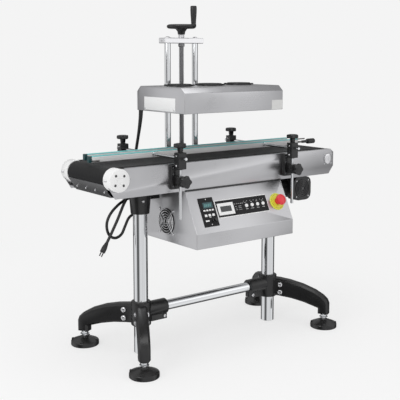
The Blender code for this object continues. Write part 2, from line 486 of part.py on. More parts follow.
def make_head():
    shell = to_object("head_shell", prism("X", head_outline(0), HEAD_LEFT, HEAD_RIGHT), STEEL)
    combine(shell, "DIFFERENCE", [prism("X", head_outline(SHEET), HEAD_LEFT + SHEET, HEAD_RIGHT - SHEET)])
    combine(shell, "DIFFERENCE", [cylinder("Z", (x, 0), 0.91, 0.94, FAN_OPENING, 24) for x in FAN_XS])
    carriers = []
    for x in FAN_XS:
        carriers.append(box((x - 0.006, -0.052, 0.8975), (x + 0.006, 0.052, 0.9005)))
        for sign in (-1, 1):
            ends = sorted((sign * 0.047, sign * 0.052))
            carriers.append(box((x - 0.006, ends[0], 0.900), (x + 0.006, ends[1], 0.9230)))
    combine(shell, "UNION", carriers)
    for number, x in enumerate(FAN_XS, 1):
        fan_rotor((x, 0, 0.9115), FAN_ROTOR, 0.020, 0.017, "Z", f"head_fan_{number}")
    plate = box((HEAD_LEFT + SHEET + RUN, HEAD_FRONT + SHEET + RUN, HEAD_BOTTOM + 0.004),
                (HEAD_RIGHT - SHEET - RUN, HEAD_BACK - SHEET - RUN, HEAD_BOTTOM + 0.012))
    coil = to_object("coil_plate", plate, PLASTIC)
    tunnel = [box((HEAD_LEFT + 0.030, -0.070, HEAD_BOTTOM + 0.0115), (HEAD_RIGHT - 0.030, 0.070, HEAD_BOTTOM + 0.034))]
    combine(coil, "UNION", tunnel)
    block = bevelled(box((-0.088, HEAD_BACK + GAP, 0.842), (0.088, COLUMN_Y + 0.021, 0.900)), 0.002)
    carriage = to_object("head_carriage", block, ALUMINIUM)
    combine(carriage, "DIFFERENCE", [
        cylinder("Z", (-COLUMN_X, COLUMN_Y), 0.83, 0.91, COLUMN_RADIUS + RUN, 16),
        cylinder("Z", (COLUMN_X, COLUMN_Y), 0.83, 0.91, COLUMN_RADIUS + RUN, 16),
        cylinder("Z", (0, COLUMN_Y), 0.83, 0.91, SCREW_RADIUS + RUN, 12)])


# ---- control box -----------------------------------------------------------------------------------
SLOPE = Vector((0, BOX_TOP_FRONT - BOX_FRONT, BOX_TOP - BOX_KNEE)).normalized()
OUTWARD = Vector((0, -SLOPE.z, SLOPE.y))
PANEL_FRAME = Matrix((Vector((1, 0, 0)), SLOPE, OUTWARD)).transposed().to_4x4()
BUTTON_XS, BUTTON_UP, BUTTON_RADIUS = (0.030, 0.0555, 0.081, 0.1065), 0.075, 0.0062
ESTOP_X, ESTOP_UP = 0.1755, 0.074
KNOB_X, KNOB_UP, KNOB_RADIUS = -0.1235, 0.040, 0.0075


def panel_frame(x, up):
    """A frame on the sloping panel: Z points out of it, Y up it."""
    place = Vector((x, BOX_FRONT, BOX_KNEE)) + SLOPE * up
    return Matrix.Translation(place) @ PANEL_FRAME


def panel_piece(name, profile, x, up, finish, sides=24):
    obj = to_object(name, turned(profile, (0, 0, 0), sides), finish)
    obj.matrix_world = panel_frame(x, up)
    return obj


def gland_profile(sign):
    """A screwed cable gland with a rounded nut, standing off its wall by its length."""
    return [(radius, sign * height) for radius, height in (
        (0, GLAND_LENGTH), (0.0075, GLAND_LENGTH), (0.0105, 0.017), (0.0105, 0.008), (0.013, 0.008),
        (0.013, -0.0005), (0, -0.0005))]


def make_control_box():
    outline = [(BOX_FRONT, BOX_BOTTOM), (BOX_FRONT, BOX_KNEE), (BOX_TOP_FRONT, BOX_TOP), (BOX_BACK, BOX_TOP),
               (BOX_BACK, BOX_BOTTOM)]
    inner = [(BOX_FRONT + SHEET, BOX_BOTTOM + SHEET), (BOX_FRONT + SHEET, BOX_KNEE), (BOX_TOP_FRONT + SHEET,
             BOX_TOP - SHEET), (BOX_BACK + 0.01, BOX_TOP - SHEET), (BOX_BACK + 0.01, BOX_BOTTOM + SHEET)]
    obj = to_object("control_box", prism("X", outline, BOX_LEFT, BOX_RIGHT), STEEL)
    combine(obj, "DIFFERENCE", [prism("X", inner, BOX_LEFT + SHEET, BOX_RIGHT - SHEET)])
    fan = (BOX_FAN_Y, BOX_FAN_Z)
    combine(obj, "DIFFERENCE", [cylinder("X", fan, BOX_LEFT - 0.01, BOX_LEFT + 0.01, BOX_FAN_OPENING, 24)])
    arm = box((BOX_LEFT + 0.020, fan[0] - 0.046, fan[1] - 0.005), (BOX_LEFT + 0.023, fan[0] + 0.046, fan[1] + 0.005))
    legs = [box((BOX_LEFT + 0.001, fan[0] + s * 0.044 - 0.002, fan[1] - 0.005),
                (BOX_LEFT + 0.0205, fan[0] + s * 0.044 + 0.002, fan[1] + 0.005)) for s in (-1, 1)]
    combine(obj, "UNION", [arm] + legs)
    combine(obj, "UNION", [turned(gland_profile(-1), (BOX_LEFT, LEAD_GLAND_Y, LEAD_GLAND_Z), 12, "X")])
    holes = [(x, BUTTON_UP, BUTTON_RADIUS + RUN) for x in BUTTON_XS]
    holes += [(ESTOP_X, ESTOP_UP, 0.011 + RUN), (KNOB_X, KNOB_UP, 0.003 + RUN)]
    for x, up, radius in holes:
        hole = cylinder("Z", (0, 0), -0.012, 0.012, radius, 14)
        bmesh.ops.transform(hole, verts=hole.verts, matrix=panel_frame(x, up))
        combine(obj, "DIFFERENCE", [hole])
    fan_rotor((BOX_LEFT + 0.0105, *fan), 0.035, 0.018, 0.014, "X", "box_fan")
    cover = to_object("control_box_cover", box((BOX_LEFT + SHEET + GAP, BOX_BACK - SHEET, BOX_BOTTOM + SHEET + GAP),
                                               (BOX_RIGHT - SHEET - GAP, BOX_BACK, BOX_TOP - SHEET - GAP)), STEEL)
    combine(cover, "UNION", [turned(gland_profile(1), (HEAD_GLAND_X, BOX_BACK, HEAD_GLAND_Z), 12, "Y")])


def make_controls():
    for number, x in enumerate(BUTTON_XS, 1):
        profile = [(0, 0.0065), (BUTTON_RADIUS - 0.001, 0.0065), (BUTTON_RADIUS, 0.0055), (BUTTON_RADIUS, -0.006),
                   (0, -0.006)]
        panel_piece(f"panel_button_{number}", profile, x, BUTTON_UP, WHITE, 12)
    profile = [(0, 0.034), (0.014, 0.0325), (0.0185, 0.029), (0.020, 0.024), (0.0185, 0.019), (0.011, 0.016),
               (0.011, -0.016), (0, -0.016)]
    panel_piece("estop_button", profile, ESTOP_X, ESTOP_UP, RED, 20)
    profile = [(0, 0.0145), (KNOB_RADIUS - 0.001, 0.0145), (KNOB_RADIUS, 0.013), (KNOB_RADIUS, 0.0032),
               (0.003, 0.0032), (0.003, -0.006), (0, -0.006)]
    panel_piece("power_knob", profile, KNOB_X, KNOB_UP, PLASTIC, 12)


# ---- guide rails and their clamps --------------------------------------------------------------------
def star(lobes, radius, height):
    """A star knob's outline: a round with shallow bays between its lobes, extruded along Z from 0."""
    steps = lobes * 4
    outline = []
    for i in range(steps):
        turn = 2 * math.pi * i / steps
        reach = radius * (0.89 + 0.11 * math.cos(lobes * turn))
        outline.append((reach * math.cos(turn), reach * math.sin(turn)))
    bm = prism("Z", outline, 0, height)
    rims = [e for e in bm.edges if abs(e.verts[0].co.z - e.verts[1].co.z) < 1e-6]
    bmesh.ops.bevel(bm, geom=rims, offset=0.002, segments=1, affect="EDGES", profile=0.5)
    return bm


def star_knob(name, place, direction, neck, shaft):
    """A star knob standing off along a direction, with a neck under it and a screw below the neck."""
    obj = to_object(name, star(5, STAR_RADIUS, 0.014), PLASTIC)
    body = turned([(0, 0.004), (0.010, 0.004), (0.0085, -neck), (0.004, -neck), (0.004, -neck - shaft),
                   (0, -neck - shaft)], (0, 0, 0), 10)
    combine(obj, "UNION", [body])
    frame = Matrix.Translation(place) @ Vector((0, 0, 1)).rotation_difference(Vector(direction)).to_matrix().to_4x4()
    obj.matrix_world = frame
    obj.modifiers[0].object.matrix_world = frame


def make_guides():
    for depth, sign in (("front", -1), ("back", 1)):
        face = RAIL_FACE_Y[depth]
        ends = sorted((face, face - sign * RAIL_THICKNESS))
        rail = to_object(f"{depth}_rail", box((RAIL_LEFTS[depth], ends[0], RAIL_BOTTOM),
                                               (RAIL_RIGHT, ends[1], RAIL_TOP)), ALUMINIUM)
        rods = [cylinder("Y", (x, ROD_Z), *sorted((face - sign * 0.002, sign * ROD_END_Y)), ROD_RADIUS, 12)
                for x in (-ROD_X, ROD_X)]
        combine(rail, "UNION", rods)
        if depth == "front":
            stop = [(0, 0.5115), (0.0095, 0.5115), (0.0095, 0.482), (0.0055, 0.482), (0.0055, 0.455), (0.0035, 0.455),
                    (0.0035, RAIL_RIGHT - 0.002), (0, RAIL_RIGHT - 0.002)]
        else:
            stop = [(0, 0.508), (0.003, 0.508), (0.003, RAIL_RIGHT - 0.002), (0, RAIL_RIGHT - 0.002)]
        combine(rail, "UNION", [turned(stop, (0, face + sign * -0.006, 0.6975), 12, "X")])
        for side, sx in SIDES:
            mast = cylinder("Z", (sx * ROD_X, sign * ROD_Y), MAST_BOTTOM, CLAMP_BOTTOM + 0.002, ROD_RADIUS, 12)
            obj = to_object(f"guide_clamp_{depth}_{side}", mast, PLASTIC)
            clamp = bevelled(box((sx * ROD_X - 0.016, sign * ROD_Y - 0.0135, CLAMP_BOTTOM),
                                 (sx * ROD_X + 0.016, sign * ROD_Y + 0.0135, CLAMP_TOP)), 0.0015)
            combine(obj, "UNION", [clamp])
            reach = sorted((sign * 0.15, sign * 0.20))
            combine(obj, "DIFFERENCE", [
                cylinder("Y", (sx * ROD_X, ROD_Z), *reach, ROD_RADIUS + RUN, 12),
                cylinder("Z", (sx * ROD_X, sign * ROD_Y), ROD_Z, 0.73, 0.004 + RUN, 10)])
            star_knob(f"top_knob_{depth}_{side}", (sx * ROD_X, sign * ROD_Y, 0.7335), (0, 0, 1), 0.016,
                      0.7175 - ROD_Z - ROD_RADIUS - RUN)
            wall = ROD_Y + 0.013
            star_knob(f"side_knob_{depth}_{side}", (sx * ROD_X, sign * (wall + 0.011), SIDE_KNOB_Z), (0, sign, 0),
                      0.0105, wall - ROD_Y - ROD_RADIUS - 2 * RUN)


# ---- cables ----------------------------------------------------------------------------------------------
def smooth_route(route, spacing):
    """Points at an even spacing along the smooth curve (Catmull-Rom) through a route's own points."""
    knots = [Vector(p) for p in route]
    knots = [2 * knots[0] - knots[1]] + knots + [2 * knots[-1] - knots[-2]]
    fine = []
    steps = 24
    for p0, p1, p2, p3 in zip(knots, knots[1:], knots[2:], knots[3:]):
        for i in range(steps):
            t = i / steps
            fine.append(0.5 * (2 * p1 + (p2 - p0) * t + (2 * p0 - 5 * p1 + 4 * p2 - p3) * t ** 2
                               + (3 * p1 - p0 - 3 * p2 + p3) * t ** 3))
    fine.append(knots[-2])
    travelled = [0.0]
    for a, b in zip(fine, fine[1:]):
        travelled.append(travelled[-1] + (b - a).length)
    count = round(travelled[-1] / spacing)
    points, place = [], 0
    for number in range(count + 1):
        target = travelled[-1] * number / count
        while place < len(fine) - 2 and travelled[place + 1] < target:
            place += 1
        share = (target - travelled[place]) / (travelled[place + 1] - travelled[place])
        points.append(fine[place].lerp(fine[place + 1], share))
    return points


def make_cable(name, route, radius):
    points = smooth_route(route, radius * 2 * 2.2)
    curve = bpy.data.curves.new(name, "CURVE")
    curve.dimensions = "3D"
    curve.bevel_depth = radius
    curve.bevel_resolution = 2
    curve.use_fill_caps = True
    spline = curve.splines.new("POLY")
    spline.points.add(len(points) - 1)
    for point, place in zip(spline.points, points):
        point.co = (*place, 1)
    curve.materials.append(RUBBER)
    obj = bpy.data.objects.new(name, curve)
    bpy.context.collection.objects.link(obj)


def make_cables():
    make_cable("supply_lead", LEAD_ROUTE, LEAD_RADIUS)
    make_cable("head_cable", HEAD_CABLE_ROUTE, HEAD_CABLE_RADIUS)
    end = Vector(LEAD_ROUTE[-1])
    heading = (end - Vector(LEAD_ROUTE[-2])).normalized()
    plug = turned([(0, 0.0003), (0.0046, 0.0003), (0.006, 0.004), (0.0095, 0.018), (0.0095, 0.036), (0, 0.036)],
                  (0, 0, 0), 12)
    obj = to_object("supply_plug", plug, RUBBER)
    pins = [cylinder("Z", (sign * 0.0048, 0), 0.035, 0.051, 0.002, 8) for sign in (-1, 1)]
    combine(obj, "UNION", pins)
    frame = Matrix.Translation(end) @ Vector((0, 0, 1)).rotation_difference(heading).to_matrix().to_4x4()
    obj.matrix_world = frame
    for mod in obj.modifiers:
        mod.object.matrix_world = frame


make_posts()
make_bases()
make_feet()
make_head_brackets()
make_side_plates()
make_slider_bed()
make_rollers()
make_belt()
make_drive()
make_lift()
make_handwheel()
make_head()
make_control_box()
make_controls()
make_guides()
make_cables()
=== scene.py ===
import math

import bmesh
import bpy
from mathutils import Matrix, Vector


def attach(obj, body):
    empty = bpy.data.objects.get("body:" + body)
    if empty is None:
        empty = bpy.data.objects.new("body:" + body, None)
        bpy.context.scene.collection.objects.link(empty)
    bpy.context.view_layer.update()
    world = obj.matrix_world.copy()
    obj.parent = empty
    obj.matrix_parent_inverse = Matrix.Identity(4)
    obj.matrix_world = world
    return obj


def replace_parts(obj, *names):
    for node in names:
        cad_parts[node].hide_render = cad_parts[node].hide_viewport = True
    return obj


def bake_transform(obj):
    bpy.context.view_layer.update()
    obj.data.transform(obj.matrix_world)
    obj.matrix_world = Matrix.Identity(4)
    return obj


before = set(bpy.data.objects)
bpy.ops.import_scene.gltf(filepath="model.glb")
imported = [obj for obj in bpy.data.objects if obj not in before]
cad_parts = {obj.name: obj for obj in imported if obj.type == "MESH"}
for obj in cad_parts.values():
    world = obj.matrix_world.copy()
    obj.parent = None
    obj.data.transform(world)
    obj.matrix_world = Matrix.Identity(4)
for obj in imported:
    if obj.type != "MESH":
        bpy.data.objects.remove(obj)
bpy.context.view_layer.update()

# ======================================================================================
# Camera: a moderately long lens from the front left, a little above the belt, tipped slightly
# down. The small upward shift keeps the posts nearly upright.
# ======================================================================================
LENS, PICTURE_SHIFT = 74.29, -0.1
CAMERA_AT = (-1.825, -2.336, 1.033)
CAMERA_TURN, CAMERA_TIP = 37.43, 7.26
camera = bpy.data.objects.new("camera", bpy.data.cameras.new("camera"))
camera.data.lens = LENS
camera.data.shift_y = PICTURE_SHIFT
camera.location = CAMERA_AT
camera.rotation_euler = (math.radians(90 - CAMERA_TIP), 0, math.radians(-CAMERA_TURN))
bpy.context.collection.objects.link(camera)
bpy.context.scene.camera = camera
bpy.context.scene.view_settings.view_transform = "Standard"

# ======================================================================================
# Stage: a pale studio floor that fades into the backdrop, a world that lights evenly and
# shows polished metal, through the floor too, white walls and dark flats; three soft lamps.
# ======================================================================================
BACKDROP = (0.905, 0.905, 0.905, 1)
FLOOR_COLOUR = (0.90, 0.90, 0.90, 1)
FLOOR_GLOW, NEAR_GLOW = 0.65, (1.22, 1.22, 1.22, 1)
FILL_LIGHT = 0.50
SOFTBOXES = [("lamp_over", (-0.3, -0.4, 3.4), 2.6, 34), ("lamp_left", (-3.2, -0.9, 1.9), 1.8, 30),
             ("lamp_right", (2.2, -3.0, 2.1), 2.4, 9)]


def new_material(name):
    """A material with nothing in its tree but a Principled shader and the output."""
    mat = bpy.data.materials.new(name)
    mat.use_nodes = True
    return mat, mat.node_tree.nodes, mat.node_tree.links, mat.node_tree.nodes["Principled BSDF"]


def studio_world():
    world = bpy.data.worlds.new("studio")
    bpy.context.scene.world = world
    world.use_nodes = True
    nodes, links = world.node_tree.nodes, world.node_tree.links
    nodes.clear()
    out = nodes.new("ShaderNodeOutputWorld")
    path = nodes.new("ShaderNodeLightPath")
    seen = nodes.new("ShaderNodeBackground")
    seen.inputs["Color"].default_value = BACKDROP
    fill = nodes.new("ShaderNodeBackground")
    fill.inputs["Color"].default_value = (1, 1, 1, 1)
    fill.inputs["Strength"].default_value = FILL_LIGHT
    gloss = nodes.new("ShaderNodeBackground")
    coords = nodes.new("ShaderNodeTexCoord")
    split = nodes.new("ShaderNodeSeparateXYZ")
    links.new(coords.outputs["Generated"], split.inputs[0])
    angle = nodes.new("ShaderNodeMath")
    angle.operation = "ARCTAN2"
    links.new(split.outputs["X"], angle.inputs[0])
    links.new(split.outputs["Y"], angle.inputs[1])
    turn = nodes.new("ShaderNodeMapRange")
    turn.inputs["From Min"].default_value = -math.pi
    turn.inputs["From Max"].default_value = math.pi
    links.new(angle.outputs[0], turn.inputs["Value"])
    flats = nodes.new("ShaderNodeValToRGB")
    ramp = flats.color_ramp
    stops = [(0.00, 0.85), (0.06, 0.98), (0.13, 0.92), (0.165, 0.16), (0.24, 0.13), (0.275, 0.90),
             (0.39, 1.05),
             (0.44, 0.30), (0.54, 0.10), (0.60, 0.38), (0.66, 0.08), (0.79, 0.12), (0.835, 0.80),
             (0.88, 1.20),
             (0.925, 0.80), (0.955, 0.95)]
    while len(ramp.elements) < len(stops):
        ramp.elements.new(0.5)
    for element, (place, value) in zip(ramp.elements, stops):
        element.position = place
        element.color = (value, value, value * 1.01, 1)
    links.new(turn.outputs["Result"], flats.inputs["Fac"])
    lift = nodes.new("ShaderNodeMapRange")
    lift.inputs["From Min"].default_value = 0.25
    lift.inputs["From Max"].default_value = 0.75
    links.new(split.outputs["Z"], lift.inputs["Value"])
    sky = nodes.new("ShaderNodeMix")
    sky.data_type = "RGBA"
    links.new(lift.outputs["Result"], sky.inputs["Factor"])
    links.new(flats.outputs["Color"], sky.inputs[6])
    sky.inputs[7].default_value = (0.66, 0.66, 0.67, 1)
    links.new(sky.outputs[2], gloss.inputs["Color"])
    first, second = nodes.new("ShaderNodeMixShader"), nodes.new("ShaderNodeMixShader")
    links.new(path.outputs["Is Glossy Ray"], first.inputs["Fac"])
    links.new(fill.outputs[0], first.inputs[1])
    links.new(gloss.outputs[0], first.inputs[2])
    links.new(path.outputs["Is Camera Ray"], second.inputs["Fac"])
    links.new(first.outputs[0], second.inputs[1])
    links.new(seen.outputs[0], second.inputs[2])
    links.new(second.outputs[0], out.inputs["Surface"])


def studio_floor():
    bm = bmesh.new()
    bmesh.ops.create_circle(bm, cap_ends=True, segments=96, radius=12)
    mesh = bpy.data.meshes.new("floor")
    bm.to_mesh(mesh)
    bm.free()
    floor = bpy.data.objects.new("floor", mesh)
    bpy.context.collection.objects.link(floor)
    mat, nodes, links, shader = new_material("studio_floor")
    shader.inputs["Base Color"].default_value = FLOOR_COLOUR
    shader.inputs["Roughness"].default_value = 0.85
    shader.inputs["Specular IOR Level"].default_value = 0.1
    coords = nodes.new("ShaderNodeTexCoord")
    reach = nodes.new("ShaderNodeVectorMath")
    reach.operation = "LENGTH"
    links.new(coords.outputs["Object"], reach.inputs[0])
    fade = nodes.new("ShaderNodeMapRange")
    fade.interpolation_type = "SMOOTHSTEP"
    fade.inputs["From Min"].default_value = 0.7
    fade.inputs["From Max"].default_value = 1.9
    fade.inputs["To Min"].default_value = FLOOR_GLOW
    links.new(reach.outputs["Value"], fade.inputs["Value"])
    glow = nodes.new("ShaderNodeEmission")
    settle = nodes.new("ShaderNodeMix")
    settle.data_type = "RGBA"
    settle.inputs[6].default_value = NEAR_GLOW
    settle.inputs[7].default_value = BACKDROP
    links.new(fade.outputs["Result"], settle.inputs["Factor"])
    links.new(settle.outputs[2], glow.inputs["Color"])
    blend = nodes.new("ShaderNodeMixShader")
    links.new(fade.outputs["Result"], blend.inputs["Fac"])
    links.new(shader.outputs[0], blend.inputs[1])
    links.new(glow.outputs[0], blend.inputs[2])
    path, clear, pick = (nodes.new(f"ShaderNode{kind}") for kind in ("LightPath", "BsdfTransparent",
                                                                     "MixShader"))
    links.new(path.outputs["Is Glossy Ray"], pick.inputs["Fac"])
    links.new(blend.outputs[0], pick.inputs[1])
    links.new(clear.outputs[0], pick.inputs[2])
    links.new(pick.outputs[0], nodes["Material Output"].inputs["Surface"])
    mesh.materials.append(mat)


studio_world()
studio_floor()
for lamp_name, lamp_at, lamp_size, lamp_power in SOFTBOXES:
    lamp = bpy.data.objects.new(lamp_name, bpy.data.lights.new(lamp_name, "AREA"))
    lamp.data.size = lamp_size
    lamp.data.energy = lamp_power
    lamp.location = lamp_at
    lamp.rotation_euler = (Vector((0, 0, 0.65)) - Vector(lamp_at)).to_track_quat("-Z", "Y").to_euler()
    bpy.context.collection.objects.link(lamp)

# ======================================================================================
# Supply lead: black round PVC flex from the gland on the control box, hung in a loop and
# a turn behind the left post, then straight down to its moulded plug.
# ======================================================================================
LEAD_RADIUS = 0.005
LEAD_ROUTE = [(-0.2328, 0.110, 0.525), (-0.252, 0.110, 0.5252), (-0.280, 0.098, 0.530),
              (-0.308, 0.076, 0.531),
              (-0.342, 0.066, 0.519), (-0.373, 0.065, 0.493), (-0.389, 0.065, 0.462), (-0.387, 0.065, 0.431),
              (-0.373, 0.065, 0.4105), (-0.352, 0.065, 0.4045), (-0.331, 0.064, 0.4155),
              (-0.317, 0.063, 0.442),
              (-0.302, 0.061, 0.470), (-0.275, 0.058, 0.487), (-0.254, 0.056, 0.505), (-0.2475, 0.054, 0.530),
              (-0.261, 0.051, 0.552), (-0.286, 0.048, 0.559), (-0.311, 0.046, 0.550), (-0.330, 0.045, 0.528),
              (-0.345, 0.045, 0.500), (-0.3585, 0.045, 0.4725), (-0.374, 0.045, 0.445),
              (-0.3895, 0.045, 0.418),
              (-0.402, 0.045, 0.3975)]
BLACK = (0.008, 0.008, 0.0085, 1)


def smooth_route(route, steps=6):
    """The smooth curve (Catmull-Rom) through a route's own points."""
    knots = [Vector(p) for p in route]
    knots = [2 * knots[0] - knots[1]] + knots + [2 * knots[-1] - knots[-2]]
    points = []
    for p0, p1, p2, p3 in zip(knots, knots[1:], knots[2:], knots[3:]):
        for i in range(steps):
            t = i / steps
            points.append(0.5 * (2 * p1 + (p2 - p0) * t + (2 * p0 - 5 * p1 + 4 * p2 - p3) * t ** 2
                                 + (3 * p1 - p0 - 3 * p2 + p3) * t ** 3))
    return points + [knots[-2]]


def cable(name, points, radius, sides=4, swell=None):
    """A round cable along its points; swell gives each point's share of the radius."""
    curve = bpy.data.curves.new(name, "CURVE")
    curve.dimensions = "3D"
    curve.bevel_depth = radius
    curve.bevel_resolution = sides
    curve.use_fill_caps = True
    spline = curve.splines.new("POLY")
    spline.points.add(len(points) - 1)
    for number, (point, place) in enumerate(zip(spline.points, points)):
        point.co = (*place, 1)
        point.radius = swell[number] if swell else 1
    obj = bpy.data.objects.new(name, curve)
    bpy.context.collection.objects.link(obj)
    return obj


def group_socket(tree, name, kind, into, value=None):
    """One named input or output of a shader node group."""
    socket = tree.interface.new_socket(name=name, in_out=into, socket_type="NodeSocket" + kind)
    if value is not None:
        socket.default_value = value
    return socket


def mottle_group():
    """Slight unevenness of moulded and painted surfaces: cloudy colour, gloss and a fine skin."""
    tree = bpy.data.node_groups.new("mottle", "ShaderNodeTree")
    group_socket(tree, "Colour", "Color", "INPUT", (0.5, 0.5, 0.5, 1))
    group_socket(tree, "Cloud Scale", "Float", "INPUT", 12.0)
    group_socket(tree, "Grain Scale", "Float", "INPUT", 900.0)
    group_socket(tree, "Strength", "Float", "INPUT", 0.15)
    group_socket(tree, "Gloss", "Float", "INPUT", 0.4)
    group_socket(tree, "Dust", "Float", "INPUT", 0.05)
    group_socket(tree, "Colour", "Color", "OUTPUT")
    group_socket(tree, "Roughness", "Float", "OUTPUT")
    group_socket(tree, "Height", "Float", "OUTPUT")
    nodes, links = tree.nodes, tree.links
    inside, outside = nodes.new("NodeGroupInput"), nodes.new("NodeGroupOutput")
    coords = nodes.new("ShaderNodeTexCoord")
    cloud, grain = nodes.new("ShaderNodeTexNoise"), nodes.new("ShaderNodeTexNoise")
    for noise, scale, detail in ((cloud, "Cloud Scale", 4), (grain, "Grain Scale", 2)):
        noise.inputs["Detail"].default_value = detail
        links.new(coords.outputs["Object"], noise.inputs["Vector"])
        links.new(inside.outputs[scale], noise.inputs["Scale"])
    centred = nodes.new("ShaderNodeMath")
    centred.operation = "SUBTRACT"
    links.new(cloud.outputs["Fac"], centred.inputs[0])
    centred.inputs[1].default_value = 0.5
    swing = nodes.new("ShaderNodeMath")
    swing.operation = "MULTIPLY_ADD"
    links.new(centred.outputs[0], swing.inputs[0])
    links.new(inside.outputs["Strength"], swing.inputs[1])
    swing.inputs[2].default_value = 1.0
    shade = nodes.new("ShaderNodeVectorMath")
    shade.operation = "SCALE"
    links.new(inside.outputs["Colour"], shade.inputs[0])
    links.new(swing.outputs[0], shade.inputs["Scale"])
    facing = nodes.new("ShaderNodeNewGeometry")
    upward = nodes.new("ShaderNodeSeparateXYZ")
    links.new(facing.outputs["Normal"], upward.inputs[0])
    settle = nodes.new("ShaderNodeMath")
    settle.operation = "MULTIPLY"
    settle.use_clamp = True
    links.new(upward.outputs["Z"], settle.inputs[0])
    links.new(inside.outputs["Dust"], settle.inputs[1])
    dusty = nodes.new("ShaderNodeMix")
    dusty.data_type = "RGBA"
    links.new(settle.outputs[0], dusty.inputs["Factor"])
    links.new(shade.outputs["Vector"], dusty.inputs[6])
    dusty.inputs[7].default_value = (0.55, 0.54, 0.52, 1)
    links.new(dusty.outputs[2], outside.inputs["Colour"])
    gloss = nodes.new("ShaderNodeMath")
    gloss.operation = "MULTIPLY_ADD"
    gloss.use_clamp = True
    links.new(centred.outputs[0], gloss.inputs[0])
    gloss.inputs[1].default_value = 0.25
    links.new(inside.outputs["Gloss"], gloss.inputs[2])
    links.new(gloss.outputs[0], outside.inputs["Roughness"])
    links.new(grain.outputs["Fac"], outside.inputs["Height"])
    return tree


MOTTLE = mottle_group()


def moulded(name, colour, gloss, grain=900.0, bump=0.15, strength=0.2, dust=0.03):
    """A moulded, cast or painted finish made from the mottle group."""
    mat, nodes, links, shader = new_material(name)
    group = nodes.new("ShaderNodeGroup")
    group.node_tree = MOTTLE
    for key, value in (("Colour", colour), ("Gloss", gloss), ("Grain Scale", grain), ("Cloud Scale", 12.0),
                       ("Strength", strength), ("Dust", dust)):
        group.inputs[key].default_value = value
    skin = nodes.new("ShaderNodeBump")
    skin.inputs["Strength"].default_value = bump
    skin.inputs["Distance"].default_value = 0.0004
    links.new(group.outputs["Height"], skin.inputs["Height"])
    links.new(group.outputs["Colour"], shader.inputs["Base Color"])
    links.new(group.outputs["Roughness"], shader.inputs["Roughness"])
    links.new(skin.outputs["Normal"], shader.inputs["Normal"])
    return mat


def finished(name, bm, mat, body="frame", sharp=35):
    """Makes a bmesh a visible piece: normals out, shaded round except at sharp edges, riding on a body."""
    bmesh.ops.recalc_face_normals(bm, faces=bm.faces)
    mesh = bpy.data.meshes.new(name)
    bm.to_mesh(mesh)
    bm.free()
    mesh.shade_smooth()
    mesh.set_sharp_from_angle(angle=math.radians(sharp))
    mesh.materials.append(mat)
    obj = bpy.data.objects.new(name, mesh)
    bpy.context.collection.objects.link(obj)
    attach(obj, body)
    return obj


def turn_to(direction):
    """The turn that takes +Z to a direction."""
    return Vector((0, 0, 1)).rotation_difference(Vector(direction)).to_matrix().to_4x4()


def lathe(bm, profile, at=(0, 0, 0), along=(0, 0, 1), steps=32):
    """Spins a profile of (radius, height) pairs into the bmesh, about an axis through a point."""
    ring = [bm.verts.new((radius, 0, height)) for radius, height in profile]
    edges = [bm.edges.new(pair) for pair in zip(ring, ring[1:])]
    before = set(bm.verts) - set(ring)
    bmesh.ops.spin(bm, geom=ring + edges, cent=(0, 0, 0), axis=(0, 0, 1), angle=2 * math.pi, steps=steps,
                   use_merge=True)
    made = [v for v in bm.verts if v not in before]
    bmesh.ops.remove_doubles(bm, verts=made, dist=1e-6)
    made = [v for v in bm.verts if v not in before]
    bmesh.ops.transform(bm, verts=made, matrix=Matrix.Translation(at) @ turn_to(along))
    return made


RUBBER = moulded("black_flex", BLACK, 0.42, grain=1500, bump=0.2)
lead_points = smooth_route(LEAD_ROUTE)
lead = cable("supply_lead_flex", lead_points, LEAD_RADIUS)
lead.data.materials.append(RUBBER)
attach(lead, "frame")
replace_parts(lead, "supply_lead")
plug_way = (lead_points[-1] - lead_points[-2]).normalized()
bm = bmesh.new()
lathe(bm,
      [(0, 0.0365), (0.0085, 0.0365), (0.0092, 0.0355), (0.0094, 0.020), (0.0085, 0.016), (0.0062, 0.0035),
           (0.0062, 0.0022), (0.0055, 0.0022), (0.0055, 0.0003), (0, 0.0003)], lead_points[-1], plug_way, 24)
for side in (-1, 1):
    pin_at = lead_points[-1] + turn_to(plug_way) @ Vector((side * 0.0045, 0, 0))
    lathe(bm, [(0, 0.051), (0.0014, 0.051), (0.002, 0.0502), (0.002, 0.036), (0, 0.036)], pin_at, plug_way,
          12)
plug = finished("lead_plug", bm, RUBBER)
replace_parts(plug, "supply_plug")

# ======================================================================================
# Head conduit: a black sleeve, thick where it leaves the sealing head, that drops
# behind the conveyor and curls into the gland on the control box's back cover.
# ======================================================================================
CONDUIT_ROUTE = [(-0.2035, 0.1285, 0.8412), (-0.2045, 0.1305, 0.810), (-0.206, 0.137, 0.770),
                 (-0.2075, 0.146, 0.730), (-0.2085, 0.156, 0.690), (-0.2085, 0.165, 0.650),
                 (-0.207, 0.172, 0.610),
                 (-0.203, 0.180, 0.572), (-0.195, 0.190, 0.538), (-0.182, 0.198, 0.508),
                 (-0.165, 0.196, 0.487),
                 (-0.1515, 0.182, 0.480), (-0.150, 0.1642, 0.480)]
CONDUIT_RADIUS, SLEEVE_END = 0.0055, 0.10
conduit_points = smooth_route(CONDUIT_ROUTE, 20)
conduit_swell, travelled = [], 0.0
for here, following in zip(conduit_points, conduit_points[1:] + conduit_points[-1:]):
    conduit_swell.append(1 + 0.45 * max(0, 1 - travelled / SLEEVE_END))
    travelled += (following - here).length
conduit_line = cable("conduit_line", conduit_points, CONDUIT_RADIUS, 5, conduit_swell)
conduit_mesh = bpy.data.meshes.new_from_object(conduit_line.evaluated_get(bpy.context.evaluated_depsgraph_get()))
bpy.data.objects.remove(conduit_line)
conduit = bpy.data.objects.new("head_conduit", conduit_mesh)
conduit_mesh.materials.clear()
conduit_mesh.materials.append(RUBBER)
conduit_mesh.shade_smooth()
bpy.context.collection.objects.link(conduit)
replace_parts(conduit, "head_cable")
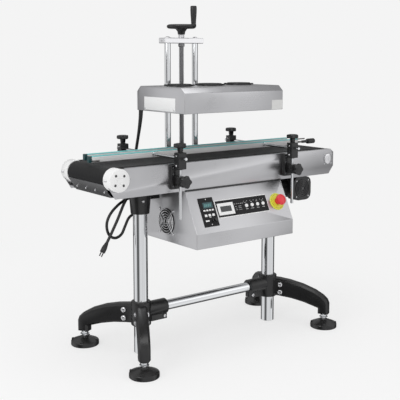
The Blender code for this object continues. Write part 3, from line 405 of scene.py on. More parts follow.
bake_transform(conduit)

# ======================================================================================
# Levelling feet: black moulded cone pads with four notches, on chromed threaded stems
# with a hex lock nut, screwed up into the ends of the cast legs.
# ======================================================================================
FOOT_X, FOOT_Y, PAD_RADIUS, STEM_RADIUS, STEM_TOP = 0.411, 0.1925, 0.050, 0.0078, 0.093
THREAD_PITCH, NOTCH_WIDTH = 0.0018, 0.012
CORNERS = [(f"{depth}_{side}", sx, sy) for depth, sy in (("front", -1), ("back", 1))
           for side, sx in (("left", -1), ("right", 1))]


def brushed_group():
    """Fine drawn scratches: a noise stretched along one axis moves colour, gloss and height."""
    tree = bpy.data.node_groups.new("brushed", "ShaderNodeTree")
    group_socket(tree, "Colour", "Color", "INPUT", (0.6, 0.6, 0.6, 1))
    group_socket(tree, "Stretch", "Vector", "INPUT", (6, 700, 700))
    group_socket(tree, "Strength", "Float", "INPUT", 0.2)
    group_socket(tree, "Gloss", "Float", "INPUT", 0.3)
    group_socket(tree, "Smear", "Float", "INPUT", 0.12)
    group_socket(tree, "Colour", "Color", "OUTPUT")
    group_socket(tree, "Roughness", "Float", "OUTPUT")
    group_socket(tree, "Height", "Float", "OUTPUT")
    nodes, links = tree.nodes, tree.links
    inside, outside = nodes.new("NodeGroupInput"), nodes.new("NodeGroupOutput")
    coords = nodes.new("ShaderNodeTexCoord")
    drawn = nodes.new("ShaderNodeVectorMath")
    drawn.operation = "MULTIPLY"
    links.new(coords.outputs["Object"], drawn.inputs[0])
    links.new(inside.outputs["Stretch"], drawn.inputs[1])
    lines, smears = nodes.new("ShaderNodeTexNoise"), nodes.new("ShaderNodeTexNoise")
    lines.inputs["Scale"].default_value = 1
    lines.inputs["Detail"].default_value = 3
    links.new(drawn.outputs["Vector"], lines.inputs["Vector"])
    smears.inputs["Scale"].default_value = 7
    smears.inputs["Detail"].default_value = 3
    links.new(coords.outputs["Object"], smears.inputs["Vector"])
    values = []
    for source, strength in ((lines, "Strength"), (smears, "Smear")):
        centred = nodes.new("ShaderNodeMath")
        centred.operation = "SUBTRACT"
        links.new(source.outputs["Fac"], centred.inputs[0])
        centred.inputs[1].default_value = 0.5
        scaled = nodes.new("ShaderNodeMath")
        scaled.operation = "MULTIPLY"
        links.new(centred.outputs[0], scaled.inputs[0])
        links.new(inside.outputs[strength], scaled.inputs[1])
        values.append(scaled)
    total = nodes.new("ShaderNodeMath")
    links.new(values[0].outputs[0], total.inputs[0])
    links.new(values[1].outputs[0], total.inputs[1])
    factor = nodes.new("ShaderNodeMath")
    links.new(total.outputs[0], factor.inputs[0])
    factor.inputs[1].default_value = 1.0
    shade = nodes.new("ShaderNodeVectorMath")
    shade.operation = "SCALE"
    links.new(inside.outputs["Colour"], shade.inputs[0])
    links.new(factor.outputs[0], shade.inputs["Scale"])
    links.new(shade.outputs["Vector"], outside.inputs["Colour"])
    gloss = nodes.new("ShaderNodeMath")
    gloss.use_clamp = True
    links.new(inside.outputs["Gloss"], gloss.inputs[0])
    links.new(total.outputs[0], gloss.inputs[1])
    links.new(gloss.outputs[0], outside.inputs["Roughness"])
    links.new(lines.outputs["Fac"], outside.inputs["Height"])
    return tree


BRUSHED = brushed_group()


def metal(name, colour, gloss, stretch=(6, 700, 700), strength=0.25, smear=0.12, bump=0.08):
    """A bare or plated metal with its drawn or ground lines."""
    mat, nodes, links, shader = new_material(name)
    group = nodes.new("ShaderNodeGroup")
    group.node_tree = BRUSHED
    for key, value in (("Colour", colour), ("Gloss", gloss), ("Stretch", stretch), ("Strength", strength),
                       ("Smear", smear)):
        group.inputs[key].default_value = value
    skin = nodes.new("ShaderNodeBump")
    skin.inputs["Strength"].default_value = bump
    skin.inputs["Distance"].default_value = 0.0003
    links.new(group.outputs["Height"], skin.inputs["Height"])
    links.new(group.outputs["Colour"], shader.inputs["Base Color"])
    links.new(group.outputs["Roughness"], shader.inputs["Roughness"])
    links.new(skin.outputs["Normal"], shader.inputs["Normal"])
    shader.inputs["Metallic"].default_value = 1.0
    return mat


def bevel_sharp(bm, width, segments=2, over=40):
    """Softens every edge sharper than an angle."""
    edges = [e for e in bm.edges if len(e.link_faces) == 2 and e.calc_face_angle(0) > math.radians(over)]
    bmesh.ops.bevel(bm, geom=edges, offset=width, segments=segments, affect="EDGES", profile=0.5, material=-1,
                    clamp_overlap=True)
    return bm


def block(bm, low, high, width=0.0, segments=2):
    """Adds a box to the bmesh, with its edges rounded."""
    part = bmesh.new()
    bmesh.ops.create_cube(part, size=1)
    bmesh.ops.scale(part, verts=part.verts, vec=[b - a for a, b in zip(low, high)])
    bmesh.ops.translate(part, verts=part.verts, vec=[(a + b) / 2 for a, b in zip(low, high)])
    if width:
        bmesh.ops.bevel(part, geom=part.edges, offset=width, segments=segments, affect="EDGES", profile=0.5)
    return joined(bm, part)


def joined(bm, part, matrix=None):
    """Moves one bmesh into another."""
    if matrix:
        bmesh.ops.transform(part, verts=part.verts, matrix=matrix)
    mesh = bpy.data.meshes.new("scratch")
    part.to_mesh(mesh)
    part.free()
    bm.from_mesh(mesh)
    bpy.data.meshes.remove(mesh)
    return bm


def cap_screw(bm, at, along, radius=0.004, height=0.003, sides=16):
    """A button-head screw with its hex socket, standing on a surface."""
    lathe(bm,
          [(0, height * 0.45), (radius * 0.42, height * 0.45), (radius * 0.45, height),
           (radius * 0.62, height),
               (radius * 0.9, height * 0.7), (radius, height * 0.25), (radius, -0.0006), (0, -0.0006)],
          at, along, sides)


def hex_head(bm, at, along, radius=0.006, height=0.004):
    """A hexagon bolt head or nut with chamfered corners and its washer."""
    part = bmesh.new()
    bmesh.ops.create_cone(part, cap_ends=True, segments=6, radius1=radius, radius2=radius, depth=height)
    bmesh.ops.translate(part, verts=part.verts, vec=(0, 0, height / 2 + 0.001))
    bmesh.ops.bevel(part, geom=part.edges, offset=radius * 0.09, segments=1, affect="EDGES", profile=0.5)
    joined(bm, part, Matrix.Translation(at) @ turn_to(along))
    lathe(bm,
          [(0, 0.001), (radius * 1.25, 0.001), (radius * 1.3, 0.0006), (radius * 1.3, -0.0004), (0, -0.0004)],
          at, along, 20)


CAST = moulded("black_cast_enamel", (0.006, 0.006, 0.0065, 1), 0.30, grain=420, bump=0.35, strength=0.3,
               dust=0.03)
CHROME = metal("polished_chrome", (0.66, 0.67, 0.68, 1), 0.07, (500, 500, 8), 0.06, 0.05, 0.02)
ZINC = metal("bright_zinc", (0.62, 0.62, 0.63, 1), 0.24, (300, 300, 300), 0.2, 0.15, 0.1)
for corner, sx, sy in CORNERS:
    bm = bmesh.new()
    pad = [(0, 0.0335), (0.0125, 0.0335), (0.0135, 0.0325), (0.016, 0.0295), (0.030, 0.0245), (0.045, 0.0180),
           (0.0485, 0.0165), (0.0497, 0.0145), (PAD_RADIUS, 0.012), (PAD_RADIUS, 0.0022), (0.0485, 0.0004),
           (0.046, 0.0), (0, 0.0)]
    lathe(bm, pad, (sx * FOOT_X, sy * FOOT_Y, 0), (0, 0, 1), 56)
    for number in range(4):
        turn = math.radians(45 + 90 * number)
        lug = bmesh.new()
        block(lug, (0.036, -NOTCH_WIDTH / 2, 0.0165), (0.0485, NOTCH_WIDTH / 2, 0.0215), 0.0014)
        joined(bm, lug, Matrix.Translation((sx * FOOT_X, sy * FOOT_Y, 0)) @ Matrix.Rotation(turn, 4, "Z"))
    pad_piece = finished(f"foot_pad_{corner}", bm, CAST, f"levelling_foot_{corner}", 30)
    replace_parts(pad_piece, f"foot_{corner}")
    bm = bmesh.new()
    thread = [(0, STEM_TOP), (STEM_RADIUS - 0.001, STEM_TOP)]
    level = STEM_TOP - 0.001
    while level > 0.0505:
        thread += [(STEM_RADIUS, level), (STEM_RADIUS - 0.0007, level - THREAD_PITCH / 2)]
        level -= THREAD_PITCH
    thread += [(STEM_RADIUS, 0.0495), (STEM_RADIUS, 0.0325), (0, 0.0325)]
    lathe(bm, thread, (sx * FOOT_X, sy * FOOT_Y, 0), (0, 0, 1), 28)
    hex_head(bm, (sx * FOOT_X, sy * FOOT_Y, 0.0405), (0, 0, 1), 0.0125, 0.0072)
    finished(f"foot_stem_{corner}", bm, CHROME, f"levelling_foot_{corner}", 40)

# ======================================================================================
# Leg castings: black enamelled castings with a split knuckle clamped round each post, two
# dog-legged arms down to the feet and a split socket for the crossbar. Chromed screws.
# ======================================================================================
POST_X, CROSSBAR_Z, ARM_SCREW_REACH, ARM_HALF = 0.2956, 0.150, 0.057, 0.0205
REMADE_MERGE = 0.00002


def remade(node, mat, width=0.0, name=None, body="frame"):
    """A clean solid of a frame piece: its faces joined up, its hard edges rounded, its round sides smooth."""
    bm = bmesh.new()
    bm.from_mesh(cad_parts[node].data)
    bmesh.ops.remove_doubles(bm, verts=bm.verts, dist=REMADE_MERGE)
    bmesh.ops.dissolve_limit(bm, angle_limit=math.radians(1.5), verts=bm.verts, edges=bm.edges)
    if width:
        bevel_sharp(bm, width)
    obj = finished(name or f"{node}_body", bm, mat, body, 28)
    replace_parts(obj, node)
    return obj


bm_screws = bmesh.new()
for side, sx in (("left", -1), ("right", 1)):
    remade(f"base_{side}", CAST, 0.0011)
    for sy in (-1, 1):
        heading = Vector((sx * (FOOT_X - POST_X), sy * FOOT_Y, 0)).normalized()
        across = Vector((-heading.y, heading.x, 0)) * -sx
        for height in (0.1235, 0.1530):
            at = Vector((sx * POST_X, 0, height)) + heading * ARM_SCREW_REACH + across * ARM_HALF
            cap_screw(bm_screws, at, across, 0.0098, 0.0062, 24)
            at -= across * 2 * ARM_HALF
            hex_head(bm_screws, at, -across, 0.0075, 0.0050)
    for face in (1, -1):
        cap_screw(bm_screws, (sx * 0.2065, face * 0.016, 0.119), (0, face, 0), 0.0066, 0.0045, 20)
finished("leg_screws", bm_screws, ZINC, "frame", 35)

# ======================================================================================
# Posts and crossbar: drawn steel tube, polished and chromed, open at the ends.
# ======================================================================================
POST_RADIUS, TUBE_WALL, POST_LOW, POST_HIGH = 0.025, 0.002, 0.003, 0.568
BAR_RADIUS, BAR_END = 0.018, 0.264


def tube(name, low, high, radius, at, along, mat, replaced):
    inner, soft = radius - TUBE_WALL, 0.0004
    bm = bmesh.new()
    lathe(bm, [(inner, low + soft), (inner + soft, low), (radius - soft, low), (radius, low + soft),
               (radius, high - soft), (radius - soft, high), (inner + soft, high), (inner, high - soft),
               (inner, low + soft)], at, along, 72)
    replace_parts(finished(name, bm, mat, "frame", 40), replaced)


for side, sx in (("left", -1), ("right", 1)):
    tube(f"post_tube_{side}", POST_LOW, POST_HIGH, POST_RADIUS, (sx * POST_X, 0, 0), (0, 0, 1), CHROME,
         f"post_{side}")
BAR_CHROME = metal("polished_chrome_bar", (0.66, 0.67, 0.68, 1), 0.09, (8, 500, 500), 0.06, 0.05, 0.02)
tube("crossbar_tube", -BAR_END, BAR_END, BAR_RADIUS, (0, 0, CROSSBAR_Z), (1, 0, 0), BAR_CHROME, "crossbar")

# ======================================================================================
# Post heads: black cast tapered sockets with a flange bar that the conveyor is bolted to,
# and a clamp screw on the front of each socket.
# ======================================================================================
bm = bmesh.new()
for side, sx in (("left", -1), ("right", 1)):
    remade(f"head_bracket_{side}", CAST, 0.0009)
    x = sx * POST_X
    cap_screw(bm, (x - 0.010, -0.0352, 0.541), (0, -1, 0), 0.0052, 0.004)
    inner = -0.2125 if sx < 0 else 0.2285
    for across in (-0.026, 0.026):
        for along in (x + sx * 0.029, inner + sx * 0.008):
            hex_head(bm, (along, across, 0.5690), (0, 0, -1), 0.0045, 0.003)
finished("post_head_screws", bm, ZINC, "frame", 35)

# ======================================================================================
# Side plates: thin stainless sheet, ground along its length, with a bright folded flange
# on top, chamfered ends, black moulded guide mounts and round flange bearings.
# ======================================================================================
PLATE_Y, PLATE_LOW, PLATE_TOP, SHEET = 0.1437, 0.5814, 0.6765, 0.002
TAIL_X, TAIL_Z, TAIL_CUT = -0.474, 0.642, 0.0378
PLATE_FLANGE, FLANGE_LEFT, FLANGE_RIGHT = 0.018, -0.440, 0.4785
DRIVE_X, DRIVE_Z = 0.468, 0.639
STEEL = metal("ground_stainless", (0.46, 0.46, 0.47, 1), 0.32, (5, 800, 800), 0.12, 0.25, 0.03)
CHROME_FACE = metal("turned_steel", (0.60, 0.60, 0.61, 1), 0.26, (400, 400, 400), 0.25, 0.2, 0.08)
PLASTIC = moulded("black_moulding", (0.008, 0.008, 0.0085, 1), 0.34, grain=700, bump=0.22, strength=0.25)
KNOB_PLASTIC = moulded("black_knob", (0.006, 0.006, 0.0065, 1), 0.28, grain=900, bump=0.12, strength=0.2)
GUIDE_X, GUIDE_Y, SIDE_KNOB_Z = 0.252, 0.175, 0.622


def sheet_panel(bm, points, axis, start, thickness):
    """A flat sheet cut to an outline across one axis."""
    along = "XYZ".index(axis)
    verts = []
    for point in points:
        place = list(point)
        place.insert(along, start)
        verts.append(bm.verts.new(place))
    face = bm.faces.new(verts)
    grown = bmesh.ops.extrude_face_region(bm, geom=[face])["geom"]
    shift = [0, 0, 0]
    shift[along] = thickness
    bmesh.ops.translate(bm, verts=[v for v in grown if isinstance(v, bmesh.types.BMVert)], vec=shift)


bm_mounts, bm_bolts, bm_bearing, bm_bearing_screws = bmesh.new(), bmesh.new(), bmesh.new(), bmesh.new()
for depth, sy in (("front", -1), ("back", 1)):
    bm = bmesh.new()
    outline = [(-0.482, PLATE_LOW), (0.4745, PLATE_LOW), (0.4985, 0.611), (0.4985, 0.664),
               (0.4825, PLATE_TOP)]
    top_angle = math.asin((PLATE_TOP - TAIL_Z) / TAIL_CUT)
    low_angle = -math.radians(135)
    steps = 20
    bay = [(TAIL_X + TAIL_CUT * math.cos(top_angle + (low_angle - top_angle) * i / steps),
            TAIL_Z + TAIL_CUT * math.sin(top_angle + (low_angle - top_angle) * i / steps))
           for i in range(steps + 1)]
    sheet_panel(bm, outline + bay + [(-0.5075, 0.6215)], "Y", sy * PLATE_Y, -sy * SHEET)
    bevel_sharp(bm, 0.0005, 2)
    block(bm, (FLANGE_LEFT, min(sy * (PLATE_Y - 0.0006), sy * (PLATE_Y - PLATE_FLANGE)), PLATE_TOP - SHEET),
          (FLANGE_RIGHT, max(sy * (PLATE_Y - 0.0006), sy * (PLATE_Y - PLATE_FLANGE)), PLATE_TOP), 0.0005)
    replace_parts(finished(f"side_sheet_{depth}", bm, STEEL, "frame", 28), f"side_plate_{depth}")
    for sx in (-1, 1):
        x = sx * GUIDE_X - 0.003
        faces = sorted((sy * (PLATE_Y - 0.0004), sy * 0.158))
        block(bm_mounts, (x - 0.021, faces[0], 0.5945), (x + 0.015, faces[1], 0.6735), 0.0022, 3)
        boss = sorted((sy * 0.156, sy * (GUIDE_Y + 0.0125)))
        block(bm_mounts, (sx * GUIDE_X - 0.0135, boss[0], SIDE_KNOB_Z - 0.0165),
              (sx * GUIDE_X + 0.0135, boss[1], SIDE_KNOB_Z + 0.0165), 0.003, 3)
        lathe(bm_mounts, [(0, 0.0012), (0.0105, 0.0012), (0.0115, 0.0004), (0.0115, -0.001), (0, -0.001)],
              (sx * GUIDE_X, sy * (GUIDE_Y + 0.0123), SIDE_KNOB_Z), (0, sy, 0), 24)
        for height in (0.6035, 0.6445, 0.6640):
            cap_screw(bm_bolts, (x - 0.0125, sy * 0.158, height), (0, sy, 0), 0.0042, 0.0034)
        cap_screw(bm_bolts, (x + 0.0075, sy * 0.158, 0.6640), (0, sy, 0), 0.0042, 0.0034)
    lathe(bm_bearing, [(0, 0.0030), (0.0030, 0.0030), (0.0034, 0.0040), (0.0052, 0.0040), (0.0058, 0.0034),
                       (0.0182, 0.0034), (0.0195, 0.0028), (0.0200, 0.0018), (0.0200, 0), (0, 0)],
          (DRIVE_X, sy * (PLATE_Y + 0.0002), DRIVE_Z), (0, sy, 0), 48)
    for number in range(4):
        turn = math.radians(45 + 90 * number)
        cap_screw(bm_bearing_screws, (DRIVE_X + 0.0255 * math.cos(turn), sy * (PLATE_Y + 0.0002),
                                      DRIVE_Z + 0.0255 * math.sin(turn)), (0, sy, 0), 0.0034, 0.0022, 16)
finished("guide_mounts", bm_mounts, PLASTIC, "frame", 30)
finished("guide_mount_screws", bm_bolts, metal("black_screw", (0.10, 0.10, 0.105, 1), 0.32, (300, 300, 300)),
         "frame", 35)
finished("drive_bearing_caps", bm_bearing, CHROME_FACE, "frame", 30)
finished("drive_bearing_screws", bm_bearing_screws, ZINC, "frame", 35)
bm = bmesh.new()
block(bm, (-0.086, PLATE_Y + 0.0002, 0.590), (0.086, 0.183, 0.672), 0.0015)
column_foot = finished("column_foot", bm,
                       metal("milled_aluminium", (0.60, 0.61, 0.62, 1), 0.28, (9, 500, 500)),
                       "frame", 28)
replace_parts(column_foot, "side_plate_back")

# ======================================================================================
# Slider bed and tail tray: folded stainless pan the belt runs over, whose bent lip under
# the tail roller is held by small screws.
# ======================================================================================
TRAY_LIP = [(-0.4655, 0.5816), (-0.4785, 0.5816), (-0.5080, 0.6250)]
remade("slider_bed", STEEL)
bm = bmesh.new()
lip_low, lip_high = Vector((TRAY_LIP[1][0], 0, TRAY_LIP[1][1])), Vector((TRAY_LIP[2][0], 0, TRAY_LIP[2][1]))
lip_out = Vector((lip_low.z - lip_high.z, 0, lip_high.x - lip_low.x)).normalized()
for across in (-0.088, -0.03, 0.03, 0.088):
    cap_screw(bm, lip_low.lerp(lip_high, 0.35) + Vector((0, across, 0)), lip_out, 0.0032, 0.002, 12)
finished("tray_screws", bm, ZINC, "frame", 35)

# ======================================================================================
# Belt: dark matt PVC with a faint woven skin and a bevelled edge.
# ======================================================================================
TAIL_RADIUS, DRIVE_RADIUS, ROLLER_HALF, BELT_GAP = 0.0325, 0.0355, 0.115, 0.0003
BELT_HALF, BELT_THICK = 0.1145, 0.0025
BELT_TURN_STEPS = 40


def belt_loop(extra):
    """Points of the loop round both rollers at a height over their faces."""
    points = []
    for centre, radius, first in (((TAIL_X, TAIL_Z), TAIL_RADIUS, 90),
                                  ((DRIVE_X, DRIVE_Z), DRIVE_RADIUS, -90)):
        for i in range(BELT_TURN_STEPS + 1):
            turn = math.radians(first + 180 * i / BELT_TURN_STEPS)
            points.append((centre[0] + (radius + extra) * math.cos(turn),
                           centre[1] + (radius + extra) * math.sin(turn)))
    return points


def belt_material():
    mat, nodes, links, shader = new_material("belt_weave")
    coords = nodes.new("ShaderNodeTexCoord")
    heights = []
    for name, turn in (("warp", 0), ("weft", 90)):
        aim = nodes.new("ShaderNodeMapping")
        aim.inputs["Rotation"].default_value = (0, 0, math.radians(turn))
        wave = nodes.new("ShaderNodeTexWave")
        wave.label = name
        wave.inputs["Scale"].default_value = 260
        wave.inputs["Distortion"].default_value = 0.3
        links.new(coords.outputs["Object"], aim.inputs["Vector"])
        links.new(aim.outputs["Vector"], wave.inputs["Vector"])
        heights.append(wave)
    weave = nodes.new("ShaderNodeMath")
    weave.operation = "MULTIPLY"
    links.new(heights[0].outputs["Fac"], weave.inputs[0])
    links.new(heights[1].outputs["Fac"], weave.inputs[1])
    skin = nodes.new("ShaderNodeBump")
    skin.inputs["Strength"].default_value = 0.25
    skin.inputs["Distance"].default_value = 0.0003
    links.new(weave.outputs[0], skin.inputs["Height"])
    group = nodes.new("ShaderNodeGroup")
    group.node_tree = MOTTLE
    for key, value in (("Colour", (0.014, 0.014, 0.015, 1)), ("Gloss", 0.50), ("Cloud Scale", 9.0),
                       ("Strength", 0.5), ("Dust", 0.03)):
        group.inputs[key].default_value = value
    links.new(group.outputs["Colour"], shader.inputs["Base Color"])
    links.new(group.outputs["Roughness"], shader.inputs["Roughness"])
    links.new(skin.outputs["Normal"], shader.inputs["Normal"])
    shader.inputs["Specular IOR Level"].default_value = 0.12
    return mat


bm = bmesh.new()
rings = []
for extra, half in ((BELT_GAP, BELT_HALF - 0.0004), (BELT_GAP + 0.0005, BELT_HALF),
                    (BELT_GAP + BELT_THICK - 0.0006, BELT_HALF), (BELT_GAP + BELT_THICK, BELT_HALF - 0.0006)):
    for y in (-half, half):
        rings.append([bm.verts.new((x, y, z)) for x, z in belt_loop(extra)])
order = [0, 2, 4, 6, 7, 5, 3, 1]
for a, b in zip(order, order[1:] + order[:1]):
    loop_a, loop_b = rings[a], rings[b]
    for i in range(len(loop_a)):
        j = (i + 1) % len(loop_a)
        bm.faces.new((loop_a[i], loop_a[j], loop_b[j], loop_b[i]))
belt = finished("belt_band", bm, belt_material(), "frame", 30)
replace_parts(belt, "conveyor_belt")

# ======================================================================================
# Rollers: rubber-lagged drive drum with its sprocket, steel tail drum on a bright
# shaft, held by white nylon bearing blocks with four dark screws and a tensioning screw.
# ======================================================================================
SHAFT_RADIUS, DRUM_SHAFT, SPROCKET_Y, SPROCKET_HALF = 0.008, 0.010, 0.1285, 0.004
BLOCK_RADIUS, BLOCK_INNER, BLOCK_OUTER, BLOCK_SCREW = 0.0375, 0.1175, 0.159, 0.0215
DRIVE_TEETH, MOTOR_TEETH, DRIVE_PITCH, MOTOR_PITCH = 26, 20, 0.026, 0.020


def toothed(bm, radius, teeth, half, at, depth=0.0042):
    """A sprocket's toothed disc across Y."""
    part = bmesh.new()
    rim = []
    for i in range(teeth * 4):
        turn = 2 * math.pi * i / (teeth * 4)
        reach = radius - depth * (0, 0.35, 1.0, 0.35)[i % 4]
        rim.append(part.verts.new((reach * math.cos(turn), -half, reach * math.sin(turn))))
    face = part.faces.new(rim)
    grown = bmesh.ops.extrude_face_region(part, geom=[face])["geom"]
    bmesh.ops.translate(part, verts=[v for v in grown if isinstance(v, bmesh.types.BMVert)],
                        vec=(0, 2 * half, 0))
    joined(bm, part, Matrix.Translation(at))


bm = bmesh.new()
lathe(bm, [(0, 0.148), (SHAFT_RADIUS - 0.0005, 0.148), (SHAFT_RADIUS, 0.1475), (SHAFT_RADIUS, ROLLER_HALF),
           (0.012, ROLLER_HALF), (0.0125, ROLLER_HALF - 0.002), (0.029, ROLLER_HALF - 0.002),
           (TAIL_RADIUS - 0.0008, ROLLER_HALF), (TAIL_RADIUS, ROLLER_HALF - 0.001),
           (TAIL_RADIUS, 0.001 - ROLLER_HALF), (TAIL_RADIUS - 0.0008, -ROLLER_HALF),
           (0.029, 0.002 - ROLLER_HALF),
           (0.0125, 0.002 - ROLLER_HALF), (0.012, -ROLLER_HALF), (SHAFT_RADIUS, -ROLLER_HALF),
           (SHAFT_RADIUS, -0.1475), (SHAFT_RADIUS - 0.0005, -0.148), (0, -0.148)],
      (TAIL_X, 0, TAIL_Z), (0, 1, 0), 48)
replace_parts(finished("tail_drum", bm, CHROME_FACE, "tail_roll", 30), "tail_roller")
bm = bmesh.new()
lathe(bm, [(0, 0.145), (DRUM_SHAFT, 0.145), (DRUM_SHAFT, 0.1345), (0.016, 0.1345), (0.016, ROLLER_HALF),
           (0.030, ROLLER_HALF - 0.002), (DRIVE_RADIUS - 0.0008, ROLLER_HALF),
           (DRIVE_RADIUS, ROLLER_HALF - 0.001),
           (DRIVE_RADIUS, 0.001 - ROLLER_HALF), (DRIVE_RADIUS - 0.0008, -ROLLER_HALF),
           (0.030, 0.002 - ROLLER_HALF), (0.016, -ROLLER_HALF), (DRUM_SHAFT, -ROLLER_HALF),
           (DRUM_SHAFT, -0.145), (0, -0.145)], (DRIVE_X, 0, DRIVE_Z), (0, 1, 0), 48)
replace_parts(finished("drive_drum", bm, RUBBER, "drive_roll", 30), "drive_roller")
OILED = metal("oiled_steel", (0.16, 0.155, 0.15, 1), 0.34, (250, 250, 250), 0.4, 0.3, 0.15)
bm = bmesh.new()
toothed(bm, DRIVE_PITCH, DRIVE_TEETH, SPROCKET_HALF * 0.55, (DRIVE_X, SPROCKET_Y, DRIVE_Z), 0.003)
finished("drive_sprocket", bm, OILED, "drive_roll", 25)
bm, bm_dark, bm_stud = bmesh.new(), bmesh.new(), bmesh.new()
for depth, sy in (("front", -1), ("back", 1)):
    bm = bmesh.new()
    deep = BLOCK_OUTER - BLOCK_INNER
    lathe(bm, [(0, deep), (0.0085, deep), (0.0092, deep - 0.0006), (0.0100, deep - 0.0006), (0.0107, deep),
               (BLOCK_RADIUS - 0.0022, deep), (BLOCK_RADIUS - 0.0007, deep - 0.0008),
               (BLOCK_RADIUS, deep - 0.0025), (BLOCK_RADIUS, 0.001), (BLOCK_RADIUS - 0.001, 0),
               (0.0085, 0), (0.0085, 0.030), (0, 0.030)], (TAIL_X, sy * BLOCK_INNER, TAIL_Z), (0, sy, 0), 64)
    nylon = moulded(f"white_nylon_{depth}", (0.90, 0.90, 0.90, 1), 0.34, grain=500, bump=0.1, strength=0.05)
    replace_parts(finished(f"bearing_block_{depth}", bm, nylon, "frame", 30),
                f"tail_block_{depth}")
    for number in range(4):
        turn = math.radians(40 + 90 * number)
        cap_screw(bm_dark, (TAIL_X + BLOCK_SCREW * math.cos(turn), sy * BLOCK_OUTER,
                            TAIL_Z + BLOCK_SCREW * math.sin(turn)), (0, sy, 0), 0.0042, 0.0016, 18)
    cap_screw(bm_stud, (-0.430, sy * (PLATE_Y + 0.0002), TAIL_Z - 0.002), (0, sy, 0), 0.0045, 0.0034, 18)
    lathe(bm_stud, [(0, 0.008), (0.0022, 0.008), (0.0026, 0.0074), (0.0026, 0), (0, 0)],
          (TAIL_X - BLOCK_RADIUS + 0.0002, sy * 0.138, TAIL_Z), (-1, 0, 0), 14)
finished("bearing_block_screws", bm_dark, moulded("dark_screw", (0.05, 0.05, 0.052, 1), 0.35), "frame",
         35)
finished("tension_screws", bm_stud, ZINC, "frame", 35)

# ======================================================================================
# Gear motor: black can with a ribbed fan cowl to the operator's side, square gearbox and
# hanger at the back, and a roller chain up to the drive drum.
# ======================================================================================
MOTOR_X, MOTOR_Z, COWL_FACE = 0.384, 0.526, -0.095
CHAIN_PITCH, CHAIN_STEPS = 0.0064, 16
remade("gearmotor", PLASTIC, 0.0016)
bm = bmesh.new()
for radius in (0.0125, 0.0195, 0.0265, 0.0335):
    lathe(bm, [(radius - 0.0018, -0.0002), (radius - 0.0010, 0.0034), (radius + 0.0010, 0.0034),
               (radius + 0.0018, -0.0002), (radius - 0.0018, -0.0002)], (MOTOR_X, COWL_FACE, MOTOR_Z),
          (0, -1, 0), 48)
for number in range(3):
    spoke = bmesh.new()
    block(spoke, (-0.0355, -0.0020, -0.0011), (0.0355, 0.0003, 0.0011), 0.0005)
    joined(bm, spoke, Matrix.Translation((MOTOR_X, COWL_FACE, MOTOR_Z))
           @ Matrix.Rotation(math.radians(30 + 60 * number), 4, "Y"))
lathe(bm, [(0, 0.0028), (0.006, 0.0028), (0.0072, 0.0016), (0.0072, -0.0002), (0, -0.0002)],
      (MOTOR_X, COWL_FACE, MOTOR_Z), (0, -1, 0), 28)
for number in range(16):
    turn = 2 * math.pi * number / 16
    rib = bmesh.new()
    block(rib, (0.0415, -0.050, -0.0011), (0.0442, 0.034, 0.0011), 0.0005)
    joined(bm, rib, Matrix.Translation((MOTOR_X, 0, MOTOR_Z)) @ Matrix.Rotation(turn, 4, "Y"))
finished("motor_ribs", bm, moulded("motor_enamel", (0.045, 0.045, 0.047, 1), 0.26, grain=600, bump=0.2),
         "frame",
         30)
bm = bmesh.new()
for ax in (-1, 1):
    for az in (-1, 1):
        cap_screw(bm, (MOTOR_X + ax * 0.0305, COWL_FACE, MOTOR_Z + az * 0.0305), (0, -1, 0), 0.0032, 0.0022,
                  14)
        hex_head(bm, (MOTOR_X + ax * 0.031, 0.0883, MOTOR_Z + az * 0.033), (0, 1, 0), 0.0042, 0.0035)
finished("motor_screws", bm, ZINC, "frame", 35)
bm = bmesh.new()
toothed(bm, MOTOR_PITCH, MOTOR_TEETH, SPROCKET_HALF * 0.55, (MOTOR_X, SPROCKET_Y, MOTOR_Z), 0.003)
lathe(bm, [(0, 0.1365), (0.0095, 0.1365), (0.0105, 0.1355), (0.0105, 0.118), (0.007, 0.118), (0.007, 0.0988),
           (0, 0.0988)], (MOTOR_X, 0, MOTOR_Z), (0, 1, 0), 28)
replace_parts(finished("motor_sprocket_wheel", bm, OILED, "motor_drive", 25), "motor_sprocket")
motor_at, drum_at = Vector((MOTOR_X, MOTOR_Z)), Vector((DRIVE_X, DRIVE_Z))
run = drum_at - motor_at
heading = math.atan2(run.y, run.x)
lean = math.asin((DRIVE_PITCH - MOTOR_PITCH) / run.length)
chain_line = []
for centre, radius, first, last in (
        (motor_at, MOTOR_PITCH + 0.0026, heading + math.pi / 2 + lean, heading + 1.5 * math.pi - lean),
        (drum_at, DRIVE_PITCH + 0.0026, heading - math.pi / 2 - lean, heading + math.pi / 2 + lean)):
    for i in range(CHAIN_STEPS + 1):
        turn = first + (last - first) * i / CHAIN_STEPS
        chain_line.append(centre + Vector((math.cos(turn), math.sin(turn))) * radius)
chain_line.append(chain_line[0])
legs = [(b - a).length for a, b in zip(chain_line, chain_line[1:])]
links_in_chain = round(sum(legs) / CHAIN_PITCH / 2) * 2
bm = bmesh.new()
for number in range(links_in_chain):
    target, place = sum(legs) * number / links_in_chain, 0
    while target > legs[place]:
        target -= legs[place]
        place += 1
    step = (chain_line[place + 1] - chain_line[place]).normalized()
    centre = chain_line[place] + step * target
    spread = 0.0036 if number % 2 else 0.0027
    turned_by = Matrix.Rotation(-math.atan2(step.y, step.x), 4, "Y")
    for y in (-spread, spread):
        cheek = bmesh.new()
        block(cheek, (-0.0045, y - 0.0004, -0.0018), (0.0045, y + 0.0004, 0.0018), 0.0003, 1)
        joined(bm, cheek, Matrix.Translation((centre.x, SPROCKET_Y, centre.y)) @ turned_by)
    roller = centre + step * CHAIN_PITCH / 2
    lathe(bm, [(0, -0.0026), (0.0019, -0.0026), (0.0019, 0.0026), (0, 0.0026)],
          (roller.x, SPROCKET_Y, roller.y), (0, 1, 0), 8)
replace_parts(finished("roller_chain", bm, OILED, "frame", 30), "drive_chain")
